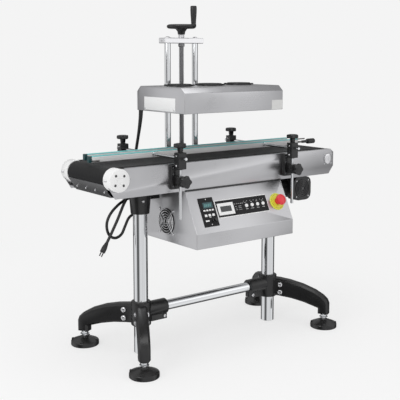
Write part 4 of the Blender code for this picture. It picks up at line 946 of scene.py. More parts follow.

# ======================================================================================
# Guide rails: silver aluminium bars, given a satin near-white colour that paints in their bright
# reflection, with a mint wear strip along the top, dark end caps, a knurled stop knob and pins,
# each carried on two chromed rods.
# ======================================================================================
RAIL_LOW, RAIL_TOP, RAIL_RIGHT = 0.687, 0.708, 0.430
RAIL_LEFTS = {"front": -0.505, "back": -0.486}
RAIL_FACES = {"front": (-0.021, -0.009), "back": (0.040, 0.052)}
STRIP_HIGH, CAP_LONG, ROD_Z, ROD_RADIUS, ROD_END = 0.0032, 0.012, 0.698, 0.005, 0.209
# Painted reflection: the silver rail bars get a near-white non-metal colour that stands in for the bright
# reflection on their faces.
RAIL_PAINTED_SHEEN = moulded("rail_white_painted_sheen", (0.78, 0.78, 0.78, 1), 0.34, grain=600, bump=0.05, strength=0.06)
MINT = moulded("mint_strip", (0.22, 0.68, 0.68, 1), 0.32, grain=500, bump=0.08, strength=0.12)
CAP_GREEN = moulded("dark_cap", (0.006, 0.045, 0.050, 1), 0.34, grain=500, bump=0.1)
ROD_CHROME = metal("polished_rod", (0.64, 0.65, 0.66, 1), 0.10, (300, 8, 300), 0.08, 0.05, 0.02)
for depth, sy in (("front", -1), ("back", 1)):
    low, high = RAIL_FACES[depth]
    rail_left = RAIL_LEFTS[depth]
    bm = bmesh.new()
    block(bm, (rail_left + CAP_LONG, low, RAIL_LOW), (RAIL_RIGHT - 0.002, high, RAIL_TOP - STRIP_HIGH),
          0.0007)
    for lip in (RAIL_LOW + 0.0028, RAIL_TOP - STRIP_HIGH - 0.0028):
        for face, out in ((low, -1), (high, 1)):
            ends = sorted((face - out * 0.0005, face + out * 0.0004))
            block(bm, (rail_left + CAP_LONG, ends[0], lip - 0.0007),
                  (RAIL_RIGHT - 0.002, ends[1], lip + 0.0007),
                  0.0002, 1)
    rail = finished(f"{depth}_rail_bar", bm, RAIL_PAINTED_SHEEN, f"{depth}_guide", 28)
    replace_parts(rail, f"{depth}_rail")
    bm = bmesh.new()
    block(bm, (rail_left + CAP_LONG, low + 0.0006, RAIL_TOP - STRIP_HIGH + 0.0001),
          (RAIL_RIGHT - 0.002, high - 0.0006, RAIL_TOP), 0.0009)
    finished(f"{depth}_rail_strip", bm, MINT, f"{depth}_guide", 28)
    bm = bmesh.new()
    block(bm, (rail_left, low - 0.0002, RAIL_LOW - 0.0002),
          (rail_left + CAP_LONG - 0.0002, high + 0.0002, RAIL_TOP),
          0.0016, 3)
    block(bm, (RAIL_RIGHT - 0.0022, low + 0.0004, RAIL_LOW + 0.0004),
          (RAIL_RIGHT, high - 0.0004, RAIL_TOP - 0.0004),
          0.0008)
    for height in (RAIL_LOW + 0.006, RAIL_TOP - 0.006):
        cap_screw(bm, (rail_left, (low + high) / 2, height), (-1, 0, 0), 0.0019, 0.0009, 12)
    finished(f"{depth}_rail_caps", bm, CAP_GREEN, f"{depth}_guide", 28)
    bm = bmesh.new()
    face = low if depth == "front" else high
    for x in (-GUIDE_X, GUIDE_X):
        lathe(bm, [(0, ROD_END), (ROD_RADIUS - 0.0008, ROD_END), (ROD_RADIUS, ROD_END - 0.0008),
                   (ROD_RADIUS, abs(face) - 0.0002), (0, abs(face) - 0.0002)], (x, 0, ROD_Z), (0, sy, 0), 28)
        lathe(bm, [(0, 0.0055), (0.0068, 0.0055), (0.0078, 0.0045), (0.0078, 0), (0, 0)],
              (x, face, ROD_Z), (0, sy, 0), 28)
    finished(f"{depth}_rail_rods", bm, ROD_CHROME, f"{depth}_guide", 30)
bm = bmesh.new()
STOP_AT = (0, -0.015, 0.6945)
lathe(bm,
      [(0, 0.5210), (0.0080, 0.5210), (0.0095, 0.5196), (0.0095, 0.4845), (0.0082, 0.4830), (0.0056, 0.4825),
           (0.0052, 0.4560), (0.0046, 0.4550), (0, 0.4550)], STOP_AT, (1, 0, 0), 36)
for number in range(24):
    ridge = bmesh.new()
    block(ridge, (0.4860, -0.0006, 0.0091), (0.5180, 0.0006, 0.0100), 0.0002, 1)
    joined(bm, ridge, Matrix.Translation(STOP_AT) @ Matrix.Rotation(2 * math.pi * number / 24, 4, "X"))
finished("rail_stop_knob", bm, KNOB_PLASTIC, "front_guide", 28)
bm = bmesh.new()
lathe(bm, [(0, 0.5300), (0.0020, 0.5300), (0.0026, 0.5293), (0.0026, 0.4302), (0, 0.4302)],
      (0, 0.046, 0.6975), (1, 0, 0), 16)
finished("back_rail_pin", bm, OILED, "back_guide", 30)
bm = bmesh.new()
lathe(bm, [(0, 0.4552), (0.0035, 0.4552), (0.0035, 0.4302), (0, 0.4302)], STOP_AT, (1, 0, 0), 20)
lathe(bm, [(0, 0.026), (0.0022, 0.026), (0.0028, 0.0254), (0.0028, 0.0), (0, 0.0)],
      (RAIL_LEFTS["front"] + CAP_LONG, -0.0238, 0.6915), (1, 0, 0), 16)
finished("rail_stop_rod", bm, OILED, "front_guide", 30)

# ======================================================================================
# Guide clamps: chromed masts with black moulded cross clamps, five-lobed star knobs on top
# to hold the rods, and star knobs at the side plates to hold the masts.
# ======================================================================================
MAST_LOW, CLAMP_LOW, CLAMP_TOP, STAR_RADIUS, STAR_HIGH = 0.4945, 0.662, 0.717, 0.022, 0.014
TOP_STAR_Z, SIDE_STAR_Y = 0.7335, 0.199


def star_head(bm, at, along, neck):
    """A five-lobed hand knob with a domed cap, a dished top and a turned neck."""
    part = bmesh.new()
    rings, steps = [], 80
    for reach, height in ((0.86, 0.0), (1.0, 0.0022), (1.0, 0.0104), (0.93, 0.0128), (0.80, 0.0136),
                          (0.52, 0.0130),
                          (0.46, 0.0138), (0.30, 0.0150)):
        ring = []
        for i in range(steps):
            turn = 2 * math.pi * i / steps
            lobe = 0.89 + 0.11 * math.cos(5 * turn) if height < 0.0136 else 0.89
            ring.append(part.verts.new((STAR_RADIUS * reach * lobe * math.cos(turn),
                                        STAR_RADIUS * reach * lobe * math.sin(turn), min(height, STAR_HIGH))))
        rings.append(ring)
    part.faces.new(list(reversed(rings[0])))
    part.faces.new(rings[-1])
    for a, b in zip(rings, rings[1:]):
        for i in range(steps):
            part.faces.new((a[i], a[(i + 1) % steps], b[(i + 1) % steps], b[i]))
    joined(bm, part, Matrix.Translation(at) @ turn_to(along))
    lathe(bm, [(0, 0.001), (0.0118, 0.001), (0.0100, -0.002), (0.0090, -neck), (0, -neck)], at, along, 28)


def clamp_screw(bm, at, along, top, low):
    lathe(bm, [(0, top), (0.0036, top), (0.004, top - 0.0006), (0.004, low), (0, low)], at, along, 16)


for depth, sy in (("front", -1), ("back", 1)):
    for side, sx in (("left", -1), ("right", 1)):
        x, y = sx * GUIDE_X, sy * GUIDE_Y
        bm = bmesh.new()
        lathe(bm, [(0, CLAMP_LOW + 0.001), (ROD_RADIUS, CLAMP_LOW + 0.001), (ROD_RADIUS, MAST_LOW + 0.0008),
                   (ROD_RADIUS - 0.0008, MAST_LOW), (0, MAST_LOW)], (x, y, 0), (0, 0, 1), 28)
        body = f"{depth}_masts"
        finished(f"mast_{depth}_{side}", bm, CHROME, body, 30)
        bm = bmesh.new()
        bm.from_mesh(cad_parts[f"guide_clamp_{depth}_{side}"].data)
        bmesh.ops.remove_doubles(bm, verts=bm.verts, dist=REMADE_MERGE)
        mast_part = [v for v in bm.verts if v.co.z < CLAMP_LOW - 0.0005]
        bmesh.ops.delete(bm, geom=mast_part, context="VERTS")
        bmesh.ops.holes_fill(bm, edges=[e for e in bm.edges if e.is_boundary], sides=0)
        bmesh.ops.dissolve_limit(bm, angle_limit=math.radians(1.5), verts=bm.verts, edges=bm.edges)
        lathe(bm, [(0, 0.0032), (0.0082, 0.0032), (0.0090, 0.0024), (0.0090, -0.0005), (0, -0.0005)],
              (x, y, CLAMP_TOP), (0, 0, 1), 28)
        lathe(bm, [(0, 0.0022), (0.0066, 0.0022), (0.0074, 0.0012), (0.0074, -0.0005), (0.0060, -0.0005),
                   (0.0060, 0.0002), (0, 0.0002)], (x, y, CLAMP_LOW - 0.0016), (0, 0, 1), 28)
        clamp = finished(f"cross_clamp_{depth}_{side}", bm, PLASTIC, body, 28)
        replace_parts(clamp, f"guide_clamp_{depth}_{side}")
        bm = bmesh.new()
        cap_screw(bm, (x - 0.016, y, 0.674), (-1, 0, 0), 0.0038, 0.0028, 14)
        cap_screw(bm, (x - 0.016, y, 0.706), (-1, 0, 0), 0.0030, 0.0022, 14)
        cap_screw(bm, (x + 0.016, y, 0.674), (1, 0, 0), 0.0038, 0.0028, 14)
        finished(f"clamp_screws_{depth}_{side}", bm, ZINC, body, 35)
        bm = bmesh.new()
        star_head(bm, (x, y, TOP_STAR_Z), (0, 0, 1), 0.0125)
        clamp_screw(bm, (x, y, TOP_STAR_Z), (0, 0, 1), 0.0, -0.0298)
        knob = finished(f"rod_star_{depth}_{side}", bm, KNOB_PLASTIC, f"rod_knob_{depth}_{side}",
                        28)
        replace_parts(knob, f"top_knob_{depth}_{side}")
        bm = bmesh.new()
        star_head(bm, (x, sy * SIDE_STAR_Y, SIDE_KNOB_Z), (0, sy, 0), 0.0095)
        clamp_screw(bm, (x, sy * SIDE_STAR_Y, SIDE_KNOB_Z), (0, sy, 0), 0.0, -0.0178)
        knob = finished(f"mast_star_{depth}_{side}", bm, KNOB_PLASTIC, f"mast_knob_{depth}_{side}",
                        28)
        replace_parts(knob, f"side_knob_{depth}_{side}")

# ======================================================================================
# Head lift: two chromed columns and a dark trapezoidal-thread screw under an aluminium
# top plate with its cap screws, turned by a black three-spoked handwheel with a free grip.
# ======================================================================================
COLUMN_X, COLUMN_Y, COLUMN_RADIUS, SCREW_RADIUS = 0.0628, 0.1620, 0.011, 0.009
COLUMN_LOW, LIFT_TOP_HIGH, SCREW_PITCH = 0.600, 1.095, 0.004
WHEEL_Z, WHEEL_RADIUS, GRIP_TOP, GRIP_TURN = 1.137, 0.054, 1.2125, -37
GRIP_X = 0.042 * math.cos(math.radians(GRIP_TURN)) + 0.004
GRIP_Y = COLUMN_Y + 0.042 * math.sin(math.radians(GRIP_TURN))
ALUMINIUM = metal("milled_plate", (0.70, 0.70, 0.71, 1), 0.30, (7, 500, 500), 0.18, 0.12, 0.08)
for side, sx in (("left", -1), ("right", 1)):
    bm = bmesh.new()
    lathe(bm,
          [(0, LIFT_TOP_HIGH - 0.004), (COLUMN_RADIUS, LIFT_TOP_HIGH - 0.004), (COLUMN_RADIUS, COLUMN_LOW),
               (0, COLUMN_LOW)], (sx * COLUMN_X, COLUMN_Y, 0), (0, 0, 1), 48)
    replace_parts(finished(f"lift_column_{side}", bm, CHROME, "frame", 30), f"column_{side}")
bm = bmesh.new()
thread, level = [(0, 1.063), (SCREW_RADIUS - 0.001, 1.063)], 1.062
while level > 0.6445:
    thread += [(SCREW_RADIUS, level), (SCREW_RADIUS, level - SCREW_PITCH * 0.40),
               (SCREW_RADIUS - 0.0017, level - SCREW_PITCH * 0.52),
               (SCREW_RADIUS - 0.0017, level - SCREW_PITCH * 0.86)]
    level -= SCREW_PITCH
thread += [(SCREW_RADIUS - 0.001, 0.6402), (0, 0.6402)]
lathe(bm, thread, (0, COLUMN_Y, 0), (0, 0, 1), 32)
lathe(bm, [(0, 1.0743), (0.0105, 1.0743), (0.0116, 1.0735), (0.0116, 1.0638), (0.0105, 1.063), (0, 1.063)],
      (0, COLUMN_Y, 0), (0, 0, 1), 32)
screw_piece = finished("lift_screw", bm,
                       metal("dark_thread", (0.20, 0.20, 0.205, 1), 0.33, (300, 300, 40), 0.3),
                       "lift_wheel", 28)
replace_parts(screw_piece, "lead_screw")
bm = bmesh.new()
lathe(bm,
      [(0, 1.1278), (0.006, 1.1278), (0.006, 1.1062), (0.0098, 1.1062), (0.0105, 1.1055), (0.0105, 1.0963),
           (0.0098, 1.0956), (0.0074, 1.0956), (0.0074, 1.0744), (0, 1.0744)], (0, COLUMN_Y, 0), (0, 0, 1),
      36)
cap_screw(bm, (-0.0083, COLUMN_Y - 0.0066, 1.101), (-0.78, -0.62, 0), 0.0022, 0.0012, 12)
finished("screw_collar", bm, CHROME_FACE, "lift_wheel", 30)
remade("top_plate", ALUMINIUM, name="lift_top_plate")
bm = bmesh.new()
for sx in (-1, 1):
    cap_screw(bm, (sx * COLUMN_X, COLUMN_Y, LIFT_TOP_HIGH), (0, 0, 1), 0.0078, 0.0050, 24)
    lathe(bm, [(0, 0.0008), (0.0128, 0.0008), (0.0134, 0.0002), (0.0134, -0.0004), (0, -0.0004)],
          (sx * COLUMN_X, COLUMN_Y, LIFT_TOP_HIGH), (0, 0, 1), 32)
    cap_screw(bm, (sx * 0.088, COLUMN_Y, 1.085), (sx, 0, 0), 0.0035, 0.0026, 14)
finished("top_plate_screws", bm, ZINC, "frame", 35)
bm = bmesh.new()
lathe(bm,
      [(0.0412, 0.0), (0.0425, 0.0052), (0.0470, 0.0076), (0.0515, 0.0056), (0.0537, 0.0022),
       (WHEEL_RADIUS, 0.0),
           (0.0537, -0.0022), (0.0515, -0.0056), (0.0470, -0.0076), (0.0425, -0.0052), (0.0412, 0.0)],
      (0, COLUMN_Y, WHEEL_Z), (0, 0, 1), 72)
lathe(bm,
      [(0, 1.141), (0.0115, 1.141), (0.0132, 1.1398), (0.0215, 1.1325), (0.0222, 1.1305), (0.0205, 1.1265),
           (0.0145, 1.118), (0.0130, 1.1085), (0.0125, 1.1075), (0.0065, 1.1075), (0.0065, 1.1282),
       (0, 1.1282)],
      (0, COLUMN_Y, 0), (0, 0, 1), 40)
for number in range(3):
    spoke = bmesh.new()
    block(spoke, (0.016, -0.0072, WHEEL_Z - 0.0085), (0.0440, 0.0072, WHEEL_Z + 0.0015), 0.0030, 3)
    joined(bm, spoke, Matrix.Translation((0, COLUMN_Y, 0))
           @ Matrix.Rotation(math.radians(GRIP_TURN + 120 * number), 4, "Z"))
lathe(bm, [(0, 1.1478), (0.0088, 1.1478), (0.0096, 1.1468), (0.0100, 1.140), (0.0100, 1.136), (0, 1.136)],
      (GRIP_X, GRIP_Y, 0), (0, 0, 1), 28)
wheel = finished("lift_handwheel", bm, KNOB_PLASTIC, "lift_wheel", 35)
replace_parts(wheel, "handwheel")
bm = bmesh.new()
lathe(bm, [(0, 1.208), (0.0038, 1.208), (0.0042, 1.2074), (0.0042, 1.1475), (0, 1.1475)],
      (GRIP_X, GRIP_Y, 0), (0, 0, 1), 20)
finished("grip_spindle", bm, ZINC, "lift_wheel", 35)
bm = bmesh.new()
lathe(bm, [(0.0052, GRIP_TOP), (0.0092, GRIP_TOP), (0.0108, GRIP_TOP - 0.0010), (0.0116, GRIP_TOP - 0.0035),
           (0.0118, 1.196), (0.0112, 1.180), (0.0098, 1.162), (0.0092, 1.153), (0.0094, 1.1495),
           (0.0088, 1.1483), (0.0052, 1.1483), (0.0052, GRIP_TOP)], (GRIP_X, GRIP_Y, 0), (0, 0, 1), 40)
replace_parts(finished("wheel_grip", bm, KNOB_PLASTIC, "wheel_grip", 35), "crank_grip")

# ======================================================================================
# Sealing head: folded stainless hood with three finger-guarded fans in its top, a black
# coil plate under it, a milled carriage behind it, a bare nameplate and a plain label.
# ======================================================================================
HEAD_LEFT, HEAD_RIGHT, HEAD_FRONT, HEAD_BACK = -0.213, 0.227, -0.1475, 0.1385
HEAD_TOP = 0.9244
FAN_XS, FAN_HOLE = (-0.128, 0.007, 0.142), 0.043
NAMEPLATE = ((-0.0948, 0.8425), (0.0911, 0.8880))
LABEL = ((0.1735, 0.8388), (0.2245, 0.8728))
HEAD_STEEL = metal("hood_stainless", (0.46, 0.46, 0.47, 1), 0.30, (5, 800, 800), 0.10, 0.30, 0.03)
bm = bmesh.new()
bm.from_mesh(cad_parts["head_shell"].data)
bmesh.ops.remove_doubles(bm, verts=bm.verts, dist=REMADE_MERGE)
bmesh.ops.dissolve_limit(bm, angle_limit=math.radians(1.5), verts=bm.verts, edges=bm.edges)


def on_hood_edge(edge):
    """The hood's long folds and its end edges, which are softly bent."""
    for v in edge.verts:
        at_end = min(abs(v.co.x - HEAD_LEFT), abs(v.co.x - HEAD_RIGHT)) < 1e-4
        on_skin = (min(abs(v.co.y - HEAD_FRONT),
                       abs(v.co.y - HEAD_BACK)) < 1e-4 or abs(v.co.z - HEAD_TOP) < 1e-4)
        if not (at_end and on_skin):
            return False
    return edge.calc_face_angle(0) > math.radians(20)


bmesh.ops.bevel(bm, geom=[e for e in bm.edges if on_hood_edge(e)], offset=0.0022, segments=3, affect="EDGES",
                profile=0.5, material=-1, clamp_overlap=True)
hood = finished("hood", bm, HEAD_STEEL, "sealing_head", 22)
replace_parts(hood, "head_shell")


def ring_guard(bm, at, along, rings, wire, reach, lift):
    """A wire finger guard: round wire rings on straight arms that end in screw eyes."""
    frame_at = Matrix.Translation(at) @ turn_to(along)
    part = bmesh.new()
    for radius in rings:
        steps, sides, loop = 56, 8, []
        for i in range(steps):
            turn = 2 * math.pi * i / steps
            loop.append([part.verts.new(((radius + wire * math.cos(a)) * math.cos(turn),
                                         (radius + wire * math.cos(a)) * math.sin(turn),
                                         lift + wire * math.sin(a)))
                         for a in (2 * math.pi * k / sides for k in range(sides))])
        for i in range(steps):
            a, b = loop[i], loop[(i + 1) % steps]
            for k in range(sides):
                part.faces.new((a[k], b[k], b[(k + 1) % sides], a[(k + 1) % sides]))
    for number in range(4):
        turn = math.radians(45 + 90 * number)
        arm = bmesh.new()
        lathe(arm, [(0, reach), (wire, reach), (wire, rings[0]), (0, rings[0])],
              (0, 0, lift - wire * 1.2), (1, 0, 0), 8)
        lathe(arm, [(0, 0.0012), (0.0032, 0.0012), (0.0042, 0.0004), (0.0042, -lift * 0.6), (0, -lift * 0.6)],
              (reach, 0, lift - wire), (0, 0, 1), 16)
        joined(part, arm, Matrix.Rotation(turn, 4, "Z"))
    joined(bm, part, frame_at)


bm_frames, bm_guards = bmesh.new(), bmesh.new()
for number, x in enumerate(FAN_XS, 1):
    ring_guard(bm_guards, (x, 0, HEAD_TOP), (0, 0, 1), (0.0095, 0.0175, 0.0255, 0.0335, 0.0415), 0.0013,
               0.0500, 0.0066)
    lathe(bm_frames, [(FAN_HOLE - 0.0010, 0.0050), (FAN_HOLE + 0.0020, 0.0050), (FAN_HOLE + 0.0030, 0.0040),
                      (FAN_HOLE + 0.0030, -0.0004), (FAN_HOLE - 0.0010, -0.0004),
                      (FAN_HOLE - 0.0010, 0.0050)],
          (x, 0, HEAD_TOP), (0, 0, 1), 64)
    remade(f"head_fan_{number}", KNOB_PLASTIC, name=f"head_fan_rotor_{number}", body=f"fan_rotor_{number}")
finished("head_fan_rims", bm_frames, PLASTIC, "sealing_head", 30)
finished("head_fan_guards", bm_guards, metal("black_wire", (0.07, 0.07, 0.072, 1), 0.30, (300, 300, 300)),
         "sealing_head", 40)
COIL = moulded("coil_plate_black", (0.030, 0.029, 0.028, 1), 0.45, grain=300, bump=0.2)
remade("coil_plate", COIL, 0.0008, body="sealing_head")
remade("head_carriage", ALUMINIUM, 0.0, name="head_carriage_block", body="sealing_head")
bm = bmesh.new()
low, high = NAMEPLATE
block(bm, (HEAD_LEFT - 0.0012, low[0], low[1]), (HEAD_LEFT + 0.0004, high[0], high[1]), 0.0004)
finished("nameplate_blank", bm, moulded("nameplate_white", (0.90, 0.90, 0.90, 1), 0.38, grain=500, bump=0.04,
                                        strength=0.04), "sealing_head", 30)
low, high = LABEL
bm = bmesh.new()
block(bm, (low[0], HEAD_FRONT - 0.0005, low[1]), (high[0], HEAD_FRONT + 0.0002, high[1]), 0.0002, 1)
finished("label_blank", bm, moulded("label_plain", (0.70, 0.70, 0.69, 1), 0.36, grain=500, bump=0.04,
                                    strength=0.05), "sealing_head", 30)
bm = bmesh.new()
for y in (NAMEPLATE[0][0] + 0.006, NAMEPLATE[1][0] - 0.006):
    cap_screw(bm, (HEAD_LEFT - 0.0012, y, NAMEPLATE[0][1] + 0.0045), (-1, 0, 0), 0.0030, 0.0018, 16)
for x in (-0.070, -0.028, 0.028, 0.070):
    cap_screw(bm, (x, COLUMN_Y + 0.021, 0.871), (0, 1, 0), 0.0040, 0.0032, 16)
finished("head_screws", bm, ZINC, "sealing_head", 35)

# ======================================================================================
# Control box: folded stainless case with a sloping front, a wire-guarded fan in its left
# wall, screwed black glands, a lapped back cover and a black strip under the side plate
# that paints the shadow line of the gap there.
# ======================================================================================
BOX_LEFT, BOX_RIGHT, BOX_FRONT, BOX_BACK = -0.210, 0.226, -0.2097, 0.141
BOX_LOW, BOX_KNEE, BOX_TOP, BOX_TOP_FRONT = 0.3913, 0.4425, 0.5811, -0.1415
BOX_FAN_Y, BOX_FAN_Z = -0.0365, 0.4622
BOX_STEEL = metal("case_stainless", (0.50, 0.50, 0.51, 1), 0.32, (5, 800, 800), 0.10, 0.28, 0.03)
bm = bmesh.new()
bm.from_mesh(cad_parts["control_box"].data)
bmesh.ops.remove_doubles(bm, verts=bm.verts, dist=REMADE_MERGE)
bmesh.ops.dissolve_limit(bm, angle_limit=math.radians(1.5), verts=bm.verts, edges=bm.edges)


def on_case_edge(edge):
    """The case's outer folds and end edges."""
    for v in edge.verts:
        at_end = min(abs(v.co.x - BOX_LEFT), abs(v.co.x - BOX_RIGHT)) < 1e-4
        on_skin = (abs(v.co.y - BOX_FRONT) < 1e-4 or abs(v.co.z - BOX_LOW) < 1e-4 or abs(v.co.z - BOX_TOP) < 1e-4)
        if not (at_end and on_skin):
            return False
    return edge.calc_face_angle(0) > math.radians(20)


bmesh.ops.bevel(bm, geom=[e for e in bm.edges if on_case_edge(e)], offset=0.0016, segments=3, affect="EDGES",
                profile=0.5, material=-1, clamp_overlap=True)
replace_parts(finished("case", bm, BOX_STEEL, "frame", 22), "control_box")
remade("control_box_cover", STEEL, 0.0, name="case_cover")
remade("box_fan", KNOB_PLASTIC, name="case_fan_rotor", body="box_fan_rotor")
bm = bmesh.new()
ring_guard(bm, (BOX_LEFT, BOX_FAN_Y, BOX_FAN_Z), (-1, 0, 0), (0.0090, 0.0175, 0.0260, 0.0345, 0.0430), 0.0014,
           0.0570, 0.0046)
finished("case_fan_guard", bm,
         metal("guard_wire", (0.80, 0.80, 0.81, 1), 0.25, (300, 300, 300), 0.2, 0.1, 0.05),
         "frame", 40)
bm = bmesh.new()
lathe(bm,
      [(0, -0.0330), (0.0385, -0.0330), (0.0385, -0.0022), (0.0372, -0.0022), (0.0372, -0.0320),
       (0, -0.0320)],
      (BOX_LEFT, BOX_FAN_Y, BOX_FAN_Z), (-1, 0, 0), 48)
lathe(bm,
      [(0.0372, 0.0020), (0.0452, 0.0020), (0.0458, 0.0012), (0.0458, 0.0), (0.0372, 0.0), (0.0372, 0.0020)],
      (BOX_LEFT, BOX_FAN_Y, BOX_FAN_Z), (-1, 0, 0), 48)
# Painted shadow: a black strip along the case top, under the side plate's lower edge, stands in for the dark
# shadow of the gap there.
block(bm, (BOX_LEFT, -0.1462, BOX_TOP - 0.0012), (BOX_RIGHT, -0.1418, BOX_TOP + 0.0018), 0.0006)
finished("case_fan_housing_and_painted_shadow_strip", bm, PLASTIC, "frame", 30)
bm, bm_glands = bmesh.new(), bmesh.new()
for x in (BOX_LEFT + 0.012, -0.075, 0.075, BOX_RIGHT - 0.012):
    for z in (BOX_LOW + 0.013, BOX_TOP - 0.013):
        cap_screw(bm, (x, BOX_BACK, z), (0, 1, 0), 0.0034, 0.0024, 14)
finished("case_screws", bm, ZINC, "frame", 35)
for at, along in (((BOX_LEFT, 0.110, 0.525), (-1, 0, 0)), ((-0.150, BOX_BACK, 0.480), (0, 1, 0))):
    lathe(bm_glands,
          [(0.0062, 0.0221), (0.0080, 0.0221), (0.0098, 0.0205), (0.0112, 0.0165), (0.0112, 0.0085),
                      (0.0132, 0.0085), (0.0136, 0.0078), (0.0136, 0.0002), (0.0062, 0.0002),
           (0.0062, 0.0221)],
          at, along, 6)
    lathe(bm_glands,
          [(0.0108, 0.0180), (0.0118, 0.0172), (0.0118, 0.0096), (0.0108, 0.0090), (0.0108, 0.0180)],
          at, along, 30)
finished("cable_glands", bm_glands, PLASTIC, "frame", 30)

# ======================================================================================
# Controls: two black faced instrument plates on the sloping panel, a temperature
# controller with its keys and a display with four push keys, and the emergency stop.
# ======================================================================================
SLOPE = Vector((0, BOX_TOP_FRONT - BOX_FRONT, BOX_TOP - BOX_KNEE)).normalized()
OUTWARD = Vector((0, -SLOPE.z, SLOPE.y))
PANEL_AXES = Matrix((Vector((1, 0, 0)), SLOPE, OUTWARD)).transposed().to_4x4()
PANEL = Matrix.Translation((0, BOX_FRONT, BOX_KNEE)) @ PANEL_AXES
CONTROLLER = ((-0.169, 0.0205), (-0.107, 0.122))
DISPLAY = ((-0.1050, 0.0435), (0.1300, 0.1075))
KEY_XS, KEY_UP, KEY_RADIUS = (0.030, 0.0555, 0.081, 0.1065), 0.075, 0.0062
ESTOP_X, ESTOP_UP, COLLAR_RADIUS = 0.1755, 0.074, 0.0310
KNOB_X, KNOB_UP, KNOB_RADIUS = -0.1235, 0.040, 0.0075
FACE_BLACK = moulded("instrument_black", (0.006, 0.006, 0.007, 1), 0.30, grain=700, bump=0.06, strength=0.15)
INK_WHITE = moulded("printed_white", (0.93, 0.93, 0.93, 1), 0.40, grain=600, bump=0.03, strength=0.05)
FACE_BLACK.node_tree.nodes["Principled BSDF"].inputs["Specular IOR Level"].default_value = 0.15
KEY_GREY = moulded("key_grey", (0.42, 0.42, 0.42, 1), 0.42, grain=600, bump=0.06, strength=0.08)
LCD_DARK = moulded("screen_dark", (0.030, 0.033, 0.034, 1), 0.16, grain=500, bump=0.0, strength=0.1)
TEAL_FILM = moulded("teal_film", (0.010, 0.060, 0.070, 1), 0.22, grain=500, bump=0.02, strength=0.1)


def on_panel(name, shapes, mat, width=0.0002):
    """Plates on the sloping panel, each given by its low corner, high corner, foot and face heights."""
    bm = bmesh.new()
    for (x0, up0), (x1, up1), foot, face in shapes:
        block(bm, (x0, up0, foot), (x1, up1, face), min(width, (face - foot) * 0.45), 1)
    bmesh.ops.transform(bm, verts=bm.verts, matrix=PANEL)
    return finished(name, bm, mat, "frame", 28)


def frame_strips(low, high, wide, foot, face):
    """The four strips of a printed border."""
    (x0, u0), (x1, u1) = low, high
    return [((x0, u0), (x1, u0 + wide), foot, face), ((x0, u1 - wide), (x1, u1), foot, face),
            ((x0, u0 + wide), (x0 + wide, u1 - wide), foot, face),
            ((x1 - wide, u0 + wide), (x1, u1 - wide), foot, face)]


c0, c1 = CONTROLLER
on_panel("controller_plate", [(c0, c1, -0.0002, 0.0030)], FACE_BLACK, width=0.0009)
on_panel("controller_window",
         [((c0[0] + 0.013, c1[1] - 0.0375), (c1[0] - 0.008, c1[1] - 0.0165), 0.0028, 0.0040)],
         TEAL_FILM, width=0.0005)
digits, keys, inks = [], [], []
window_left, window_low = c0[0] + 0.018, c1[1] - 0.0325
for number in range(4):
    left = window_left + number * 0.0078
    for row in range(3):
        digits.append(((left, window_low + row * 0.0045), (left + 0.0046, window_low + row * 0.0045 + 0.0009),
                       0.0038, 0.0043))
    for column in (0, 0.0040):
        digits.append(((left + column, window_low), (left + column + 0.0008, window_low + 0.0098), 0.0038,
                       0.0043))
for column in range(4):
    left = c0[0] + 0.010 + column * 0.0118
    keys.append(((left, c1[1] - 0.0475), (left + 0.0084, c1[1] - 0.0420), 0.0028, 0.0044))
for column in range(3):
    left = c0[0] + 0.010 + column * 0.0158
    keys.append(((left, c1[1] - 0.0665), (left + 0.0100, c1[1] - 0.0580), 0.0028, 0.0044))
inks.append(((c0[0] + 0.008, 0.0385), (c0[0] + 0.024, 0.0435), 0.0028, 0.0032))
inks.append(((c0[0] + 0.028, 0.0520), (c0[0] + 0.036, 0.0535), 0.0028, 0.0032))
LIT = moulded("lit_digits", (0.25, 0.62, 0.60, 1), 0.4, grain=500, bump=0.0, strength=0.05)
on_panel("controller_digits", digits, LIT)
on_panel("controller_keys", keys, INK_WHITE, width=0.0006)
on_panel("controller_marks", inks, INK_WHITE)

d0, d1 = DISPLAY
on_panel("display_border", [(d0, d1, -0.0002, 0.0018)], INK_WHITE, width=0.0006)
on_panel("display_face",
         [((d0[0] + 0.0035, d0[1] + 0.0030), (d1[0] - 0.0022, d1[1] - 0.0030), 0.0016, 0.0024)],
         FACE_BLACK)
screen_low, screen_high = (-0.0970, 0.0530), (-0.0270, 0.0950)
on_panel("screen_frame", frame_strips(screen_low, screen_high, 0.0110, 0.0022, 0.0034), INK_WHITE,
         width=0.0003)
on_panel("screen_glass", [((screen_low[0] + 0.0108, screen_low[1] + 0.0108),
                           (screen_high[0] - 0.0108, screen_high[1] - 0.0108), 0.0022, 0.0029)], LCD_DARK,
         width=0.0003)
marks = []
for x in KEY_XS:
    marks.append(((x - 0.0060, KEY_UP - 0.0125), (x + 0.0060, KEY_UP - 0.0112), 0.0022, 0.0026))
    marks.append(((x - 0.0045, KEY_UP + 0.0115), (x + 0.0045, KEY_UP + 0.0124), 0.0022, 0.0026))
for number in range(5):
    marks.append(((-0.022 + number * 0.0085, KEY_UP + 0.0105),
                  (-0.022 + number * 0.0085 + 0.0045, KEY_UP + 0.0118),
                  0.0022, 0.0026))
for row in range(3):
    marks.append(((-0.020, KEY_UP - 0.0105 + row * 0.006), (-0.0125, KEY_UP - 0.0097 + row * 0.006), 0.0022,
                  0.0026))
    marks.append(((-0.006, KEY_UP - 0.0105 + row * 0.006), (0.0080, KEY_UP - 0.0097 + row * 0.006), 0.0022,
                  0.0026))
on_panel("display_marks", marks, INK_WHITE)
bm = bmesh.new()
for number in range(7):
    lathe(bm, [(0, 0.0033), (0.0012, 0.0033), (0.0015, 0.0029), (0.0015, 0.0022), (0, 0.0022)],
          (0.022 + number * 0.0150, KEY_UP + 0.0165, 0), (0, 0, 1), 12)
bmesh.ops.transform(bm, verts=bm.verts, matrix=PANEL)
finished("display_lamps", bm, KEY_GREY, "frame", 30)
